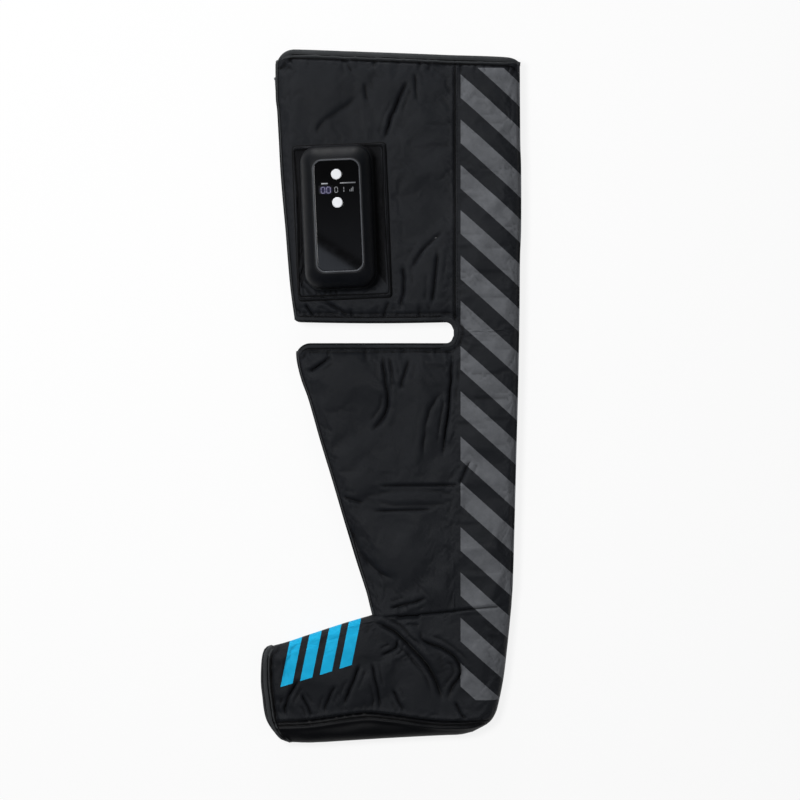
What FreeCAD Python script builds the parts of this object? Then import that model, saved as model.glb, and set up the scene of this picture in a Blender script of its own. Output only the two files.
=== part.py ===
import FreeCAD, Part
import math
import os
import re
import Sketcher

# Full-leg air compression boot lying flat on its outer side, with the control unit
# on the near face of the thigh. Millimetres. X points to the back of the leg,
# Y to the hip, Z up from the surface the boot lies on.

Vector = FreeCAD.Vector
doc = FreeCAD.newDocument("CompressionBoot")
sheet = doc.addObject("Spreadsheet::Sheet", "Sizes")

SIZES = {
    # flattened sleeve, seen from above
    "back_seam_x": 82.9,
    "slot_top_y": 95.67,
    "thigh_top_width": 311.0,
    "thigh_bottom_width": 284.5,
    "calf_top_width": 284.0,
    "ankle_width": 177.0,
    "cuff_back_width": 82.0,
    "knee_back_width": 81.5,
    "ankle_back_width": 70.0,
    "thigh_length": 345.0,
    "cuff_rise": 9.0,
    "slot_height": 27.0,
    "calf_length": 341.0,
    "foot_height": 163.0,
    "toe_reach": 140.8,
    "heel_radius": 45.0,
    "sole_seam_rise": 28.0,
    "instep_angle": 17.4,
    "heel_angle": 6.3,
    "sole_angle": 3.2,
    # wall build-up through the flattened sleeve
    "sleeve_thickness": 30.0,
    "cover_thickness": 1.2,
    "chamber_thickness": 3.0,
    "lining_thickness": 0.8,
    "layer_gap": 0.3,
    "hose_space": 5.7,
    "thigh_crown": 1.5,
    "calf_crown": 4.0,
    "ankle_crown": 0.5,
    "back_crown": 2.0,
    "puff_height": 2.2,
    # bound edges
    "cuff_band": 9.0,
    "slot_band": 5.0,
    "toe_band": 8.0,
    # front zips
    "zip_opening": 12.0,
    "tape_thickness": 0.6,
    "tape_reach": 9.5,
    "tape_gap": 0.1,
    "tooth_depth": 2.6,
    "tooth_reach": 2.5,
    "tooth_length": 2.0,
    "tooth_pitch": 3.6,
    "tooth_inset": 0.9,
    "row_slot": 1.4,
    "thigh_zip_top": 28.0,
    "thigh_zip_bottom": 9.0,
    "calf_zip_top": 12.0,
    "calf_zip_bottom": 32.0,
    "stop_length": 3.0,
    "slider_length": 13.0,
    "slider_width": 10.0,
    "slider_plate": 2.0,
    "slider_post": 0.8,
    "slider_lip": 0.9,
    "bail_radius": 0.8,
    "bail_width": 7.4,
    "bail_leg": 1.2,
    "pull_eye_radius": 1.8,
    "pull_eye_width": 4.4,
    "pull_length": 30.0,
    "pull_width": 7.0,
    "pull_thickness": 1.6,
    "pin_gap": 0.05,
    # control unit and its pocket
    "pump_x": -65.7,
    "pump_y": 227.3,
    "pump_tilt": 2.4,
    "pump_width": 87.6,
    "pump_length": 178.0,
    "pump_corner": 20.0,
    "pump_height": 42.0,
    "rear_height": 17.0,
    "base_round": 2.0,
    "case_wall": 2.4,
    "deck_thickness": 1.6,
    "ring_side": 13.5,
    "ring_end": 17.8,
    "ring_corner": 12.6,
    "ring_band": 2.2,
    "ring_proud": 0.4,
    "ring_edge": 0.5,
    "panel_thickness": 2.2,
    "panel_edge": 0.4,
    "window_width": 46.0,
    "window_length": 62.0,
    "window_corner": 4.0,
    "fit_gap": 0.2,
    "seal_width": 1.0,
    "seal_height": 1.0,
    "seal_gap": 0.1,
    "boss_side": 8.6,
    "boss_end": 10.6,
    "boss_radius": 3.5,
    "boss_rise": 10.0,
    "screw_radius": 1.5,
    "screw_gap": 0.1,
    "screw_head_radius": 2.8,
    "screw_head_height": 1.8,
    "screw_recess": 3.0,
    "screw_reach": 22.0,
    "button_radius": 6.5,
    "button_flange": 1.3,
    "button_flange_height": 1.1,
    "button_proud": 0.8,
    "button_edge": 0.7,
    "button_gap": 0.3,
    "button_travel": 1.0,
    "button_end": 37.2,
    "button_pitch": 35.4,
    "switch_body": 6.0,
    "switch_height": 3.4,
    "plunger_radius": 1.7,
    "plunger_height": 0.8,
    "board_width": 60.0,
    "board_length": 112.0,
    "board_thickness": 1.6,
    "board_end": 14.0,
    "standoff_radius": 2.6,
    "standoff_edge": 4.0,
    "display_width": 44.0,
    "display_length": 12.0,
    "display_height": 5.0,
    "cell_radius": 9.3,
    "cell_length": 65.2,
    "cell_pitch": 19.4,
    "cell_x": -19.4,
    "cell_end": 19.4,
    "cell_floor": 1.5,
    "cradle_height": 7.6,
    "cradle_rim": 1.0,
    "motor_radius": 12.0,
    "motor_length": 32.0,
    "head_side": 26.0,
    "head_length": 26.0,
    "air_pump_x": 22.0,
    "head_end": 76.0,
    "saddle_width": 24.0,
    "saddle_length": 18.0,
    "saddle_height": 4.6,
    "nozzle_radius": 2.2,
    "nozzle_length": 7.0,
    "nozzle_level": 9.0,
    "tube_wall": 1.2,
    "tube_gap": 0.1,
    "tube_end_gap": 0.5,
    "manifold_width": 62.0,
    "manifold_length": 16.0,
    "manifold_height": 12.0,
    "manifold_gap": 28.0,
    "outlet_pitch": 15.0,
    "valve_width": 12.0,
    "valve_length": 14.0,
    "valve_height": 14.0,
    "floor_slot_width": 54.0,
    "floor_slot_length": 9.0,
    "port_width": 8.9,
    "port_height": 3.2,
    "port_depth": 7.3,
    "port_wall": 0.3,
    "port_level": 9.0,
    "port_board_width": 22.0,
    "port_board_length": 14.0,
    "port_board_thickness": 1.2,
    "pocket_side": 15.0,
    "pocket_end": 8.5,
    "pocket_corner": 4.0,
    "pocket_thickness": 2.0,
    "pocket_shift_x": 4.0,
    "pocket_drop_y": 5.0,
    "collar_flare": 5.0,
    "collar_height": 9.0,
    "collar_lip": 1.6,
    "collar_gap": 0.4,
    # air hoses inside the near wall
    "hose_radius": 2.2,
    "hose_bore": 1.4,
    "hose_bend": 15.0,
    "elbow_radius": 3.0,
    "barb_length": 9.0,
    "hose_end_gap": 0.4,
    "thigh_port_run": 70.0,
    "calf_lane": 15.0,
    "ankle_lane": 26.0,
    "foot_lane": 37.0,
    "lane_step": 10.0,
    "lane_drop": 20.0,
    "calf_port_drop": 60.0,
    "ankle_port_rise": 70.0,
    "foot_port_drop": 45.0,
    "port_disc_radius": 8.0,
    "port_disc_height": 0.5,
    "port_boss": 8.0,
    # cuts run past the solid by this much
    "overrun": 20.0,
}

# shares of the calf length at which its two air chambers end
LOWER_CHAMBER_SHARES = (0.02, 0.40)
UPPER_CHAMBER_SHARES = (0.44, 0.97)
# flank of the control unit's front case: height share, width share left over the trim ring
FLANK_SHARES = ((0.0, 1.0), (0.46, 0.97), (0.62, 0.83), (1.0, 0.08))
# mounds of slack cloth between sewn lines: place along and across the panel, half length and
# half width as shares of its length and width there, turn in degrees
CALF_PUFFS = (
    (0.857, 0.307, 0.117, 0.19, 0),
    (0.725, 0.734, 0.21, 0.18, 0),
    (0.423, 0.641, 0.035, 0.33, 0),
    (0.212, 0.46, 0.135, 0.30, 0),
)
# the same on the foot, measured down and back from the front of the ankle
FOOT_PUFFS = (
    (0.55, -0.203, 0.209, 0.395, 0),
    (0.385, 0.724, 0.28, 0.124, 0),
    (0.305, 0.385, 0.22, 0.08, 35),
)
# a mound is the top slice of an ellipsoid, one part in this many of its half height
PUFF_SLICE = 4
# how far the mound runs past its rim, so that it meets a crowned panel
RIM_SPREAD = 1.05
# shares of a leg section that run past both of its ends
PAST_BOTH_ENDS = (-0.3, 1.3)
# round of the open toe and the drop of its centre below the ankle, in foot heights
TOE_ROUND_SHARE = 0.583
TOE_CENTRE_SHARE = 0.534
# edge rounds stop just short of half the thickness
ROUND_SHARE = 0.96
# tip of a zip tooth against its root
TOOTH_TIP_SHARE = 0.55
# places of the four air outlets in units of their pitch
OUTLET_SHARES = (-1.5, -0.5, 0.5, 1.5)
# two places nearer than this count as one
SAME_PLACE = 1e-4

for row, (name, number) in enumerate(SIZES.items(), start=1):
    sheet.set("A%d" % row, str(number))
    sheet.setAlias("A%d" % row, name)
doc.recompute()


def bound(text):
    """Expression text with each size name pointed at the sheet."""
    def point(match):
        word = match.group()
        return "Sizes." + word if word in SIZES else word
    return re.sub(r"[a-z_]+", point, text)


def value(text):
    """Present value of an expression over the sheet."""
    return float(sheet.evalExpression(bound(text)))


def bind(item, path, text):
    item.setExpression(path, bound(text))


PUMP_LEVEL = "sleeve_thickness + thigh_crown + layer_gap"
# places in the control unit, each measured from the end of the case that it belongs to
RING_WIDTH = "(pump_width - 2 * ring_side)"
RING_LENGTH = "(pump_length - 2 * ring_end)"
BOSS_X = "(pump_width / 2 - boss_side)"
BOSS_Y = "(pump_length / 2 - boss_end)"
POWER_Y = "(pump_length / 2 - button_end)"
MODE_Y = "(pump_length / 2 - button_end - button_pitch)"
DISPLAY_Y = "(pump_length / 2 - button_end - button_pitch / 2)"
BOARD_Y = "(pump_length / 2 - board_end - board_length / 2)"
CELL_LOW_Y = "(cell_end - pump_length / 2)"
HEAD_TOP_Y = "(head_end - pump_length / 2)"
MANIFOLD_Y = "(head_end + manifold_gap - pump_length / 2)"
finished = []


def finish(item, label, in_pump=False):
    """Take an object as a sub-part; control unit pieces share one tilted frame."""
    item.Label = label
    if in_pump:
        item.Placement = FreeCAD.Placement(Vector(), FreeCAD.Rotation(Vector(0, 0, 1), 1))
        bind(item, "Placement.Base.x", "pump_x")
        bind(item, "Placement.Base.y", "pump_y")
        bind(item, "Placement.Base.z", PUMP_LEVEL)
        item.setExpression("Placement.Rotation.Angle", "Sizes.pump_tilt * 1 deg")
    finished.append(item)
    return item


def pump_frame():
    turn = FreeCAD.Rotation(Vector(0, 0, 1), value("pump_tilt"))
    return FreeCAD.Placement(Vector(value("pump_x"), value("pump_y"), value(PUMP_LEVEL)), turn)


def feature(label, shape):
    """Sub-part whose form comes from curve and surface functions."""
    item = doc.addObject("Part::Feature", label)
    item.Shape = shape
    item.Placement = shape.Placement
    return finish(item, label)


# sketch and solid helpers

def origin_plane(body, role):
    return [item for item in body.Origin.OriginFeatures if item.Role == role][0]


def new_sketch(body, name, level="0", x="0", y="0", role="XY_Plane"):
    sketch = body.newObject("Sketcher::SketchObject", name)
    sketch.AttachmentSupport = [(origin_plane(body, role), "")]
    sketch.MapMode = "FlatFace"
    bind(sketch, "AttachmentOffset.Base.x", x)
    bind(sketch, "AttachmentOffset.Base.y", y)
    bind(sketch, "AttachmentOffset.Base.z", level)
    return sketch


def add_size(sketch, constraint, name, text):
    index = sketch.addConstraint(constraint)
    sketch.renameConstraint(index, name)
    bind(sketch, "Constraints." + name, text)


def rounded_loop(sketch, tag, width, length, corner):
    """Rounded rectangle about the sketch origin, sized by three expressions."""
    half_w = value(width) / 2
    half_l = value(length) / 2
    radius = value(corner)
    corners = [
        (half_w - radius, radius - half_l, -90),
        (half_w - radius, half_l - radius, 0),
        (radius - half_w, half_l - radius, 90),
        (radius - half_w, radius - half_l, 180),
    ]
    sides = [
        (Vector(radius - half_w, -half_l), Vector(half_w - radius, -half_l)),
        (Vector(half_w, radius - half_l), Vector(half_w, half_l - radius)),
        (Vector(half_w - radius, half_l), Vector(radius - half_w, half_l)),
        (Vector(-half_w, half_l - radius), Vector(-half_w, radius - half_l)),
    ]
    lines = [sketch.addGeometry(Part.LineSegment(*side)) for side in sides]
    arcs = []
    for centre_x, centre_y, start in corners:
        circle = Part.Circle(Vector(centre_x, centre_y), Vector(0, 0, 1), radius)
        arc = Part.ArcOfCircle(circle, math.radians(start), math.radians(start + 90))
        arcs.append(sketch.addGeometry(arc))
    rule = Sketcher.Constraint
    for i in range(4):
        sketch.addConstraint(rule("Tangent", lines[i], 2, arcs[i], 1))
        sketch.addConstraint(rule("Tangent", arcs[i], 2, lines[(i + 1) % 4], 1))
    for i in (0, 2):
        sketch.addConstraint(rule("Horizontal", lines[i]))
        sketch.addConstraint(rule("Vertical", lines[i + 1]))
    for i in range(3):
        sketch.addConstraint(rule("Equal", arcs[i], arcs[i + 1]))
    sketch.addConstraint(rule("Symmetric", arcs[3], 3, arcs[1], 3, -1, 1))
    add_size(sketch, rule("Radius", arcs[0], radius), tag + "_corner", corner)
    add_size(sketch, rule("DistanceX", lines[3], 1, lines[1], 2, 2 * half_w), tag + "_width", width)
    add_size(sketch, rule("DistanceY", lines[0], 1, lines[2], 2, 2 * half_l), tag + "_length", length)


def round_loop(sketch, tag, radius, up="0"):
    """Circle on the sketch's upright axis."""
    circle = Part.Circle(Vector(0, value(up)), Vector(0, 0, 1), value(radius))
    index = sketch.addGeometry(circle)
    rule = Sketcher.Constraint
    sketch.addConstraint(rule("PointOnObject", index, 3, -2))
    if up == "0":
        sketch.addConstraint(rule("PointOnObject", index, 3, -1))
    else:
        add_size(sketch, rule("DistanceY", -1, 1, index, 3, value(up)), tag + "_up", up)
    add_size(sketch, rule("Radius", index, value(radius)), tag + "_radius", radius)


def pad(body, name, sketch, length):
    item = body.newObject("PartDesign::Pad", name)
    item.Profile = sketch
    bind(item, "Length", length)
    return item


def pocket(body, name, sketch, length):
    item = body.newObject("PartDesign::Pocket", name)
    item.Profile = sketch
    bind(item, "Length", length)
    return item


def loft(body, name, kind, sketches):
    item = body.newObject("PartDesign::" + kind + "Loft", name)
    item.Profile = sketches[0]
    item.Sections = sketches[1:]
    return item


def body_rod(body, name, kind, radius, height, x, y, z):
    item = body.newObject("PartDesign::" + kind + "Cylinder", name)
    bind(item, "Radius", radius)
    bind(item, "Height", height)
    for axis, text in zip("xyz", (x, y, z)):
        bind(item, "Placement.Base." + axis, text)
    return item


def body_block(body, name, kind, size, corner):
    item = body.newObject("PartDesign::" + kind + "Box", name)
    for prop, text in zip(("Length", "Width", "Height"), size):
        bind(item, prop, text)
    for axis, text in zip("xyz", corner):
        bind(item, "Placement.Base." + axis, text)
    return item


def edge_names(shape, test):
    return ["Edge%d" % i for i, edge in enumerate(shape.Edges, start=1) if test(edge)]


def at_level(level):
    """Test for edges that lie in one horizontal plane."""
    height = value(level)

    def test(edge):
        box = edge.BoundBox
        return abs(box.ZMin - height) < SAME_PLACE and abs(box.ZMax - height) < SAME_PLACE
    return test


def ease(body, name, kind, base, test, size):
    """Fillet or chamfer on the edges that pass a test."""
    doc.recompute()
    item = body.newObject("PartDesign::" + kind, name)
    item.Base = (base, edge_names(base.Shape, test))
    bind(item, "Radius" if kind == "Fillet" else "Size", size)
    return item


def block(name, size, corner):
    item = doc.addObject("Part::Box", name)
    for prop, text in zip(("Length", "Width", "Height"), size):
        bind(item, prop, text)
    for axis, text in zip("xyz", corner):
        bind(item, "Placement.Base." + axis, text)
    return item


def rod(name, radius, height, start, along="z"):
    """Cylinder from a start point along +Z or +Y."""
    item = doc.addObject("Part::Cylinder", name)
    bind(item, "Radius", radius)
    bind(item, "Height", height)
    if along == "y":
        item.Placement.Rotation = FreeCAD.Rotation(Vector(1, 0, 0), -90)
    for axis, text in zip("xyz", start):
        bind(item, "Placement.Base." + axis, text)
    return item


def joined(name, items):
    if len(items) == 1:
        item = doc.addObject("Part::Compound", name)
        item.Links = items
        return item
    item = doc.addObject("Part::MultiFuse", name)
    item.Shapes = items
    item.Refine = True
    return item


def without(name, base, tool):
    item = doc.addObject("Part::Cut", name)
    item.Base = base
    item.Tool = tool
    return item


# flattened leg: sections across the sleeve, lofted between two ends

T = value("sleeve_thickness")
R = T / 2
SEAM = value("back_seam_x")
OVER = value("overrun")
GAP = value("layer_gap")
COVER = value("cover_thickness")
FAR_CHAMBER = COVER + GAP
FAR_LINING = FAR_CHAMBER + value("chamber_thickness") + GAP
NEAR_CHAMBER = COVER + value("hose_space")
NEAR_LINING = NEAR_CHAMBER + value("chamber_thickness") + GAP
LINING = value("lining_thickness")
SLOT_TOP = value("slot_top_y")
SLOT_BOTTOM = SLOT_TOP - value("slot_height")
ANKLE_Y = SLOT_BOTTOM - value("calf_length")
CUFF_Y = SLOT_TOP + value("thigh_length")


def station(y, back_width, width, side_crown, back_crown, rise=0.0):
    back = SEAM + value(back_width)
    return {
        "y": y,
        "back": back,
        "front": back - value(width),
        "side_crown": value(side_crown),
        "back_crown": value(back_crown),
        "rise": rise,
    }


cuff = station(CUFF_Y, "cuff_back_width", "thigh_top_width", "thigh_crown", "back_crown",
               value("cuff_rise"))
thigh_foot = station(SLOT_TOP, "knee_back_width", "thigh_bottom_width", "thigh_crown", "back_crown")
calf_head = station(SLOT_BOTTOM, "knee_back_width", "calf_top_width", "calf_crown", "back_crown")
ankle = station(ANKLE_Y, "ankle_back_width", "ankle_width", "ankle_crown", "ankle_crown")
THIGH = (thigh_foot, cuff)
BRIDGE = (calf_head, thigh_foot)
CALF = (ankle, calf_head)


def between(ends, share):
    low, high = ends
    return {key: low[key] + share * (high[key] - low[key]) for key in low}


def section(place, far, near, crowned):
    """Closed outline across the sleeve, far and near being insets from the outside."""
    low = far
    high = T - near
    radius = (high - low) / 2
    left = place["front"] + R
    right = place["back"] - R
    span = place["back"] - place["front"]

    def point(x, z):
        drop = place["rise"] * (x - place["front"]) / span
        return Vector(x, place["y"] - drop, z)

    def top_edge(start, end, crown):
        if crowned:
            middle = point((start + end) / 2, high + crown)
            return Part.Arc(point(start, high), middle, point(end, high)).toShape()
        return Part.makeLine(point(start, high), point(end, high))

    mid = (low + high) / 2
    back_arc = Part.Arc(point(right, low), point(right + radius, mid), point(right, high))
    front_arc = Part.Arc(point(left, high), point(left - radius, mid), point(left, low))
    return Part.Wire([
        Part.makeLine(point(left, low), point(right, low)),
        back_arc.toShape(),
        top_edge(right, SEAM, place["back_crown"]),
        top_edge(SEAM, left, place["side_crown"]),
        front_arc.toShape(),
    ])


def leg_solid(ends, shares, far, near, crowned=False):
    wires = [section(between(ends, share), far, near, crowned) for share in shares]
    return Part.makeLoft(wires, True, True)


def leg_ring(ends, shares, outer, inner, crowned=False):
    return leg_solid(ends, shares, *outer, crowned).cut(leg_solid(ends, shares, *inner, crowned))


def front_strip(ends, low, high):
    """Upright prism along the front edge, from outside it to where the end round starts."""
    corners = []
    for share, sign in ((-1, -1), (2, -1), (2, 1), (-1, 1)):
        place = between(ends, share)
        x = place["front"] + R if sign > 0 else place["front"] - OVER
        corners.append(Vector(x, place["y"], low))
    face = Part.Face(Part.makePolygon(corners + corners[:1]))
    return face.extrude(Vector(0, 0, high - low))


def zip_slot(ends):
    half = value("zip_opening") / 2
    return front_strip(ends, R - half, R + half)


def whole_front(ends):
    return front_strip(ends, -OVER, T + OVER)


WIDE = 4 * value("thigh_length")


def ahead_of(x):
    """Half space in front of an upright plane across X."""
    return Part.makeBox(WIDE, 2 * WIDE, 2 * WIDE, Vector(x - WIDE, -WIDE, -WIDE))


def below_y(y):
    return Part.makeBox(2 * WIDE, WIDE, 2 * WIDE, Vector(-WIDE, y - WIDE, -WIDE))


def by_height(shape):
    return sorted(shape.Solids, key=lambda solid: solid.CenterOfMass.z)


def puff(centre, half_width, half_length, turn):
    """Low mound of slack cloth: an ellipsoid sunk so that only its top slice stands up."""
    height = value("puff_height")
    sink = PUFF_SLICE - 1
    spread = 1 / math.sqrt(1 - (sink / PUFF_SLICE) ** 2)
    form = FreeCAD.Matrix()
    form.scale(half_width * spread, half_length * spread, PUFF_SLICE * height)
    mound = Part.makeSphere(1).transformGeometry(form)
    mound.translate(Vector(0, 0, -sink * height))
    rim = FreeCAD.Matrix()
    rim.scale(half_width * RIM_SPREAD, half_length * RIM_SPREAD, 1)
    plan = Part.makeCylinder(1, 2 * OVER, Vector(0, 0, -OVER)).transformGeometry(rim)
    slice_up = mound.common(plan)
    spin = FreeCAD.Rotation(Vector(0, 0, 1), turn)
    slice_up.Placement = FreeCAD.Placement(centre, spin)
    floor = Part.makeBox(2 * WIDE, 2 * WIDE, WIDE, Vector(-WIDE, -WIDE, T - COVER))
    return slice_up.common(floor)


def calf_puffs():
    mounds = []
    for up, across, half_length, half_width, turn in CALF_PUFFS:
        place = between(CALF, up)
        width = SEAM - place["front"]
        crown = place["side_crown"] * 4 * across * (1 - across)
        centre = Vector(place["front"] + across * width, place["y"], T + crown)
        mounds.append(puff(centre, half_width * width, half_length * value("calf_length"), turn))
    return mounds


def foot_puffs():
    mounds = []
    width = ankle["back"] - ankle["front"]
    height = value("foot_height")
    for down, across, half_length, half_width, turn in FOOT_PUFFS:
        centre = Vector(ankle["front"] + across * width, ANKLE_Y - down * height, T)
        mounds.append(puff(centre, half_width * width, half_length * height, turn))
    return mounds


SKIN = (0, 0)
SKIN_IN = (COVER, COVER)
CHAMBER = (FAR_CHAMBER, NEAR_CHAMBER)
CHAMBER_IN = (FAR_CHAMBER + value("chamber_thickness"), NEAR_CHAMBER + value("chamber_thickness"))
LINER = (FAR_LINING, NEAR_LINING)
LINER_IN = (FAR_LINING + LINING, NEAR_LINING + LINING)

cuff_share = 1 - value("cuff_band") / value("thigh_length")
thigh_hem_share = value("slot_band") / value("thigh_length")
calf_hem_share = 1 - value("slot_band") / value("calf_length")
thigh_gap_share = GAP / value("thigh_length")
calf_gap_share = GAP / value("calf_length")

# covers of the leg: near and far side panels and the back panel that joins them
thigh_skin = leg_ring(THIGH, (thigh_hem_share, cuff_share), SKIN, SKIN_IN, True)
thigh_sides = by_height(thigh_skin.common(ahead_of(SEAM)).cut(zip_slot(THIGH)))
calf_skin = leg_ring(CALF, (0, calf_hem_share), SKIN, SKIN_IN, True)
calf_sides = by_height(calf_skin.common(ahead_of(SEAM)).cut(zip_slot(CALF)))
back_pieces = [
    leg_ring(THIGH, (0, cuff_share), SKIN, SKIN_IN, True),
    leg_ring(BRIDGE, (0, 1), SKIN, SKIN_IN, True),
    leg_ring(CALF, (0, 1), SKIN, SKIN_IN, True),
]
back_shells = [piece.cut(ahead_of(SEAM)) for piece in back_pieces]
back_shape = back_shells[0].fuse(back_shells[1:]).removeSplitter()

frame = pump_frame()
slot_size = Vector(value("floor_slot_width"), value("floor_slot_length"), 2 * OVER)
slot_corner = Vector(-slot_size.x / 2, value(MANIFOLD_Y) - slot_size.y / 2, -OVER)
hose_window = Part.makeBox(slot_size.x, slot_size.y, slot_size.z, slot_corner)
hose_window.Placement = frame.multiply(hose_window.Placement)

feature("thigh_panel_far", thigh_sides[0])
feature("thigh_panel_near", thigh_sides[1].cut(hose_window))
feature("calf_panel_far", calf_sides[0])
calf_hollow = leg_solid(CALF, PAST_BOTH_ENDS, *SKIN_IN, True)
feature("calf_panel_near", calf_sides[1].fuse([mound.cut(calf_hollow) for mound in calf_puffs()]))
feature("back_panel", back_shape)

# bound edges of cuff and knee slot, open at the front where the zips end
cuff_ring = leg_ring(THIGH, (cuff_share, 1), SKIN, LINER_IN)
feature("cuff_binding", cuff_ring.cut(zip_slot(THIGH)))
thigh_hem = leg_ring(THIGH, (0, thigh_hem_share), SKIN, LINER_IN).common(ahead_of(SEAM))
calf_hem = leg_ring(CALF, (calf_hem_share, 1), SKIN, LINER_IN).common(ahead_of(SEAM))
feature("thigh_hem_binding", thigh_hem.cut(zip_slot(THIGH)))
feature("calf_hem_binding", calf_hem.cut(zip_slot(CALF)))
band = value("slot_band")
slot_end = leg_ring(BRIDGE, (0, 1), SKIN, LINER_IN).common(ahead_of(SEAM))
feature("slot_end_binding", slot_end.cut(ahead_of(SEAM - band)))

# inner layers: air chambers wrap round the back and stop short of the zip
thigh_shares = (thigh_hem_share + thigh_gap_share, cuff_share - thigh_gap_share)
thigh_bag = leg_ring(THIGH, thigh_shares, CHAMBER, CHAMBER_IN)
feature("thigh_air_chamber", thigh_bag.cut(whole_front(THIGH)))
upper_bag = leg_ring(CALF, UPPER_CHAMBER_SHARES, CHAMBER, CHAMBER_IN)
lower_bag = leg_ring(CALF, LOWER_CHAMBER_SHARES, CHAMBER, CHAMBER_IN)
feature("calf_air_chamber", upper_bag.cut(whole_front(CALF)))
feature("ankle_air_chamber", lower_bag.cut(whole_front(CALF)))
thigh_liner = leg_ring(THIGH, (0, cuff_share - thigh_gap_share), LINER, LINER_IN)
calf_liner = leg_ring(CALF, (0, 1), LINER, LINER_IN)
thigh_liner = thigh_liner.cut(whole_front(THIGH))
calf_liner = calf_liner.cut(whole_front(CALF))
hem_keep = Part.makeBox(WIDE, value("slot_height") + 2 * band + 2 * GAP, WIDE,
                        Vector(SEAM - WIDE, SLOT_BOTTOM - band - GAP, -OVER))
bridge_liner = leg_ring(BRIDGE, (0, 1), LINER, LINER_IN)
leg_liner = thigh_liner.fuse([bridge_liner, calf_liner])
leg_liner = leg_liner.cut(hem_keep).removeSplitter()
feature("leg_lining", leg_liner)

# foot: rounded slab whose plan follows instep, heel and sole

INSTEP = math.radians(value("instep_angle"))
HEEL = math.radians(value("heel_angle"))
SOLE = math.radians(value("sole_angle"))
ankle_front = Vector(ankle["front"], ANKLE_Y)
ankle_back = Vector(ankle["back"], ANKLE_Y)
sole_point = Vector(ankle["front"], ANKLE_Y - value("foot_height"))
toe_tip = ankle["front"] - value("toe_reach")
TOE = value("foot_height") * TOE_ROUND_SHARE
toe_centre = Vector(toe_tip + TOE, ANKLE_Y - value("foot_height") * TOE_CENTRE_SHARE)


def line_meet(start_a, run_a, start_b, run_b):
    """Point where two plan lines cross."""
    cross = run_a.x * run_b.y - run_a.y * run_b.x
    offset = start_b - start_a
    share = (offset.x * run_b.y - offset.y * run_b.x) / cross
    return start_a + run_a * share


def foot_slab(low, high, top):
    """Foot solid between two levels, its plan drawn in so that the edge rounds are concentric."""
    radius = (high - low) / 2
    inset = R - radius
    instep_run = Vector(-math.cos(INSTEP), -math.sin(INSTEP))
    heel_run = Vector(-math.sin(HEEL), -math.cos(HEEL))
    sole_run = Vector(math.cos(SOLE), math.sin(SOLE))
    instep_start = ankle_front + Vector(math.sin(INSTEP), -math.cos(INSTEP)) * inset
    heel_start = ankle_back + Vector(-math.cos(HEEL), math.sin(HEEL)) * inset
    sole_start = sole_point + Vector(-math.sin(SOLE), math.cos(SOLE)) * inset
    across = Vector(1, 0)
    upright = Vector(0, 1)
    top_line = Vector(0, top)
    toe_line = Vector(toe_tip - OVER, 0)
    corners = [
        line_meet(instep_start, instep_run, top_line, across),
        line_meet(instep_start, instep_run, toe_line, upright),
        line_meet(sole_start, sole_run, toe_line, upright),
        line_meet(sole_start, sole_run, heel_start, heel_run),
        line_meet(heel_start, heel_run, top_line, across),
    ]
    heel_corner = corners[3]
    for corner in corners:
        corner.z = low
    face = Part.Face(Part.makePolygon(corners + corners[:1]))
    slab = face.extrude(Vector(0, 0, high - low))

    def upright_heel(edge):
        centre = edge.CenterOfMass
        flat = Vector(centre.x - heel_corner.x, centre.y - heel_corner.y)
        return flat.Length < SAME_PLACE
    slab = slab.makeFillet(value("heel_radius") - inset, [e for e in slab.Edges if upright_heel(e)])

    def outer(edge):
        box = edge.BoundBox
        if box.ZLength > SAME_PLACE:
            return False
        on_top = abs(box.YMin - top) < SAME_PLACE and abs(box.YMax - top) < SAME_PLACE
        on_toe = box.XLength < SAME_PLACE
        return not (on_top or on_toe)
    return slab.makeFillet(radius * ROUND_SHARE, [e for e in slab.Edges if outer(e)])


def toe_region(radius):
    """Everything behind the curved toe edge."""
    disc = Part.makeCylinder(radius, WIDE, Vector(toe_centre.x, toe_centre.y, -OVER))
    rest = Part.makeBox(WIDE, WIDE, WIDE, Vector(toe_centre.x, toe_centre.y - WIDE / 2, -OVER))
    return disc.fuse(rest)


def foot_ring(outer, inner, top):
    body = foot_slab(outer[0], T - outer[1], top)
    hollow = foot_slab(inner[0], T - inner[1], ANKLE_Y + OVER)
    return body.cut(hollow)


toe_in = TOE - value("toe_band")
foot_skin = foot_ring(SKIN, SKIN_IN, ANKLE_Y).common(toe_region(toe_in))
sole_cut = below_y(sole_point.y + value("sole_seam_rise"))
foot_hollow = foot_slab(COVER, T - COVER, ANKLE_Y + OVER)
foot_mounds = [mound.cut(foot_hollow) for mound in foot_puffs()]
feature("foot_upper", foot_skin.cut(sole_cut).fuse(foot_mounds))
feature("sole_panel", foot_skin.common(sole_cut))
toe_ring = foot_ring(SKIN, LINER_IN, ANKLE_Y).common(toe_region(TOE)).cut(toe_region(toe_in))
feature("toe_binding", toe_ring)
foot_bag = foot_ring(CHAMBER, CHAMBER_IN, ANKLE_Y - GAP)
feature("foot_air_chamber", foot_bag.common(toe_region(toe_in - GAP)))
foot_liner = foot_ring(LINER, LINER_IN, ANKLE_Y - GAP)
feature("foot_lining", foot_liner.common(toe_region(toe_in - GAP)))

# front zips: woven tapes, moulded teeth, stops, slider and pull


def zip_line(ends, top_margin, bottom_margin):
    """Placement at the lower end of the chain and its length; local X points into the boot."""
    low, high = ends
    run = Vector(high["front"] - low["front"], high["y"] - low["y"])
    length = run.Length
    run.normalize()
    angle = math.degrees(math.atan2(-run.x, run.y))
    start = Vector(low["front"], low["y"]) + run * value(bottom_margin)
    start.z = R
    place = FreeCAD.Placement(start, FreeCAD.Rotation(Vector(0, 0, 1), angle))
    return place, length - value(bottom_margin) - value(top_margin), length


def placed(shape, place):
    shape.Placement = place.multiply(shape.Placement)
    return shape


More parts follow.
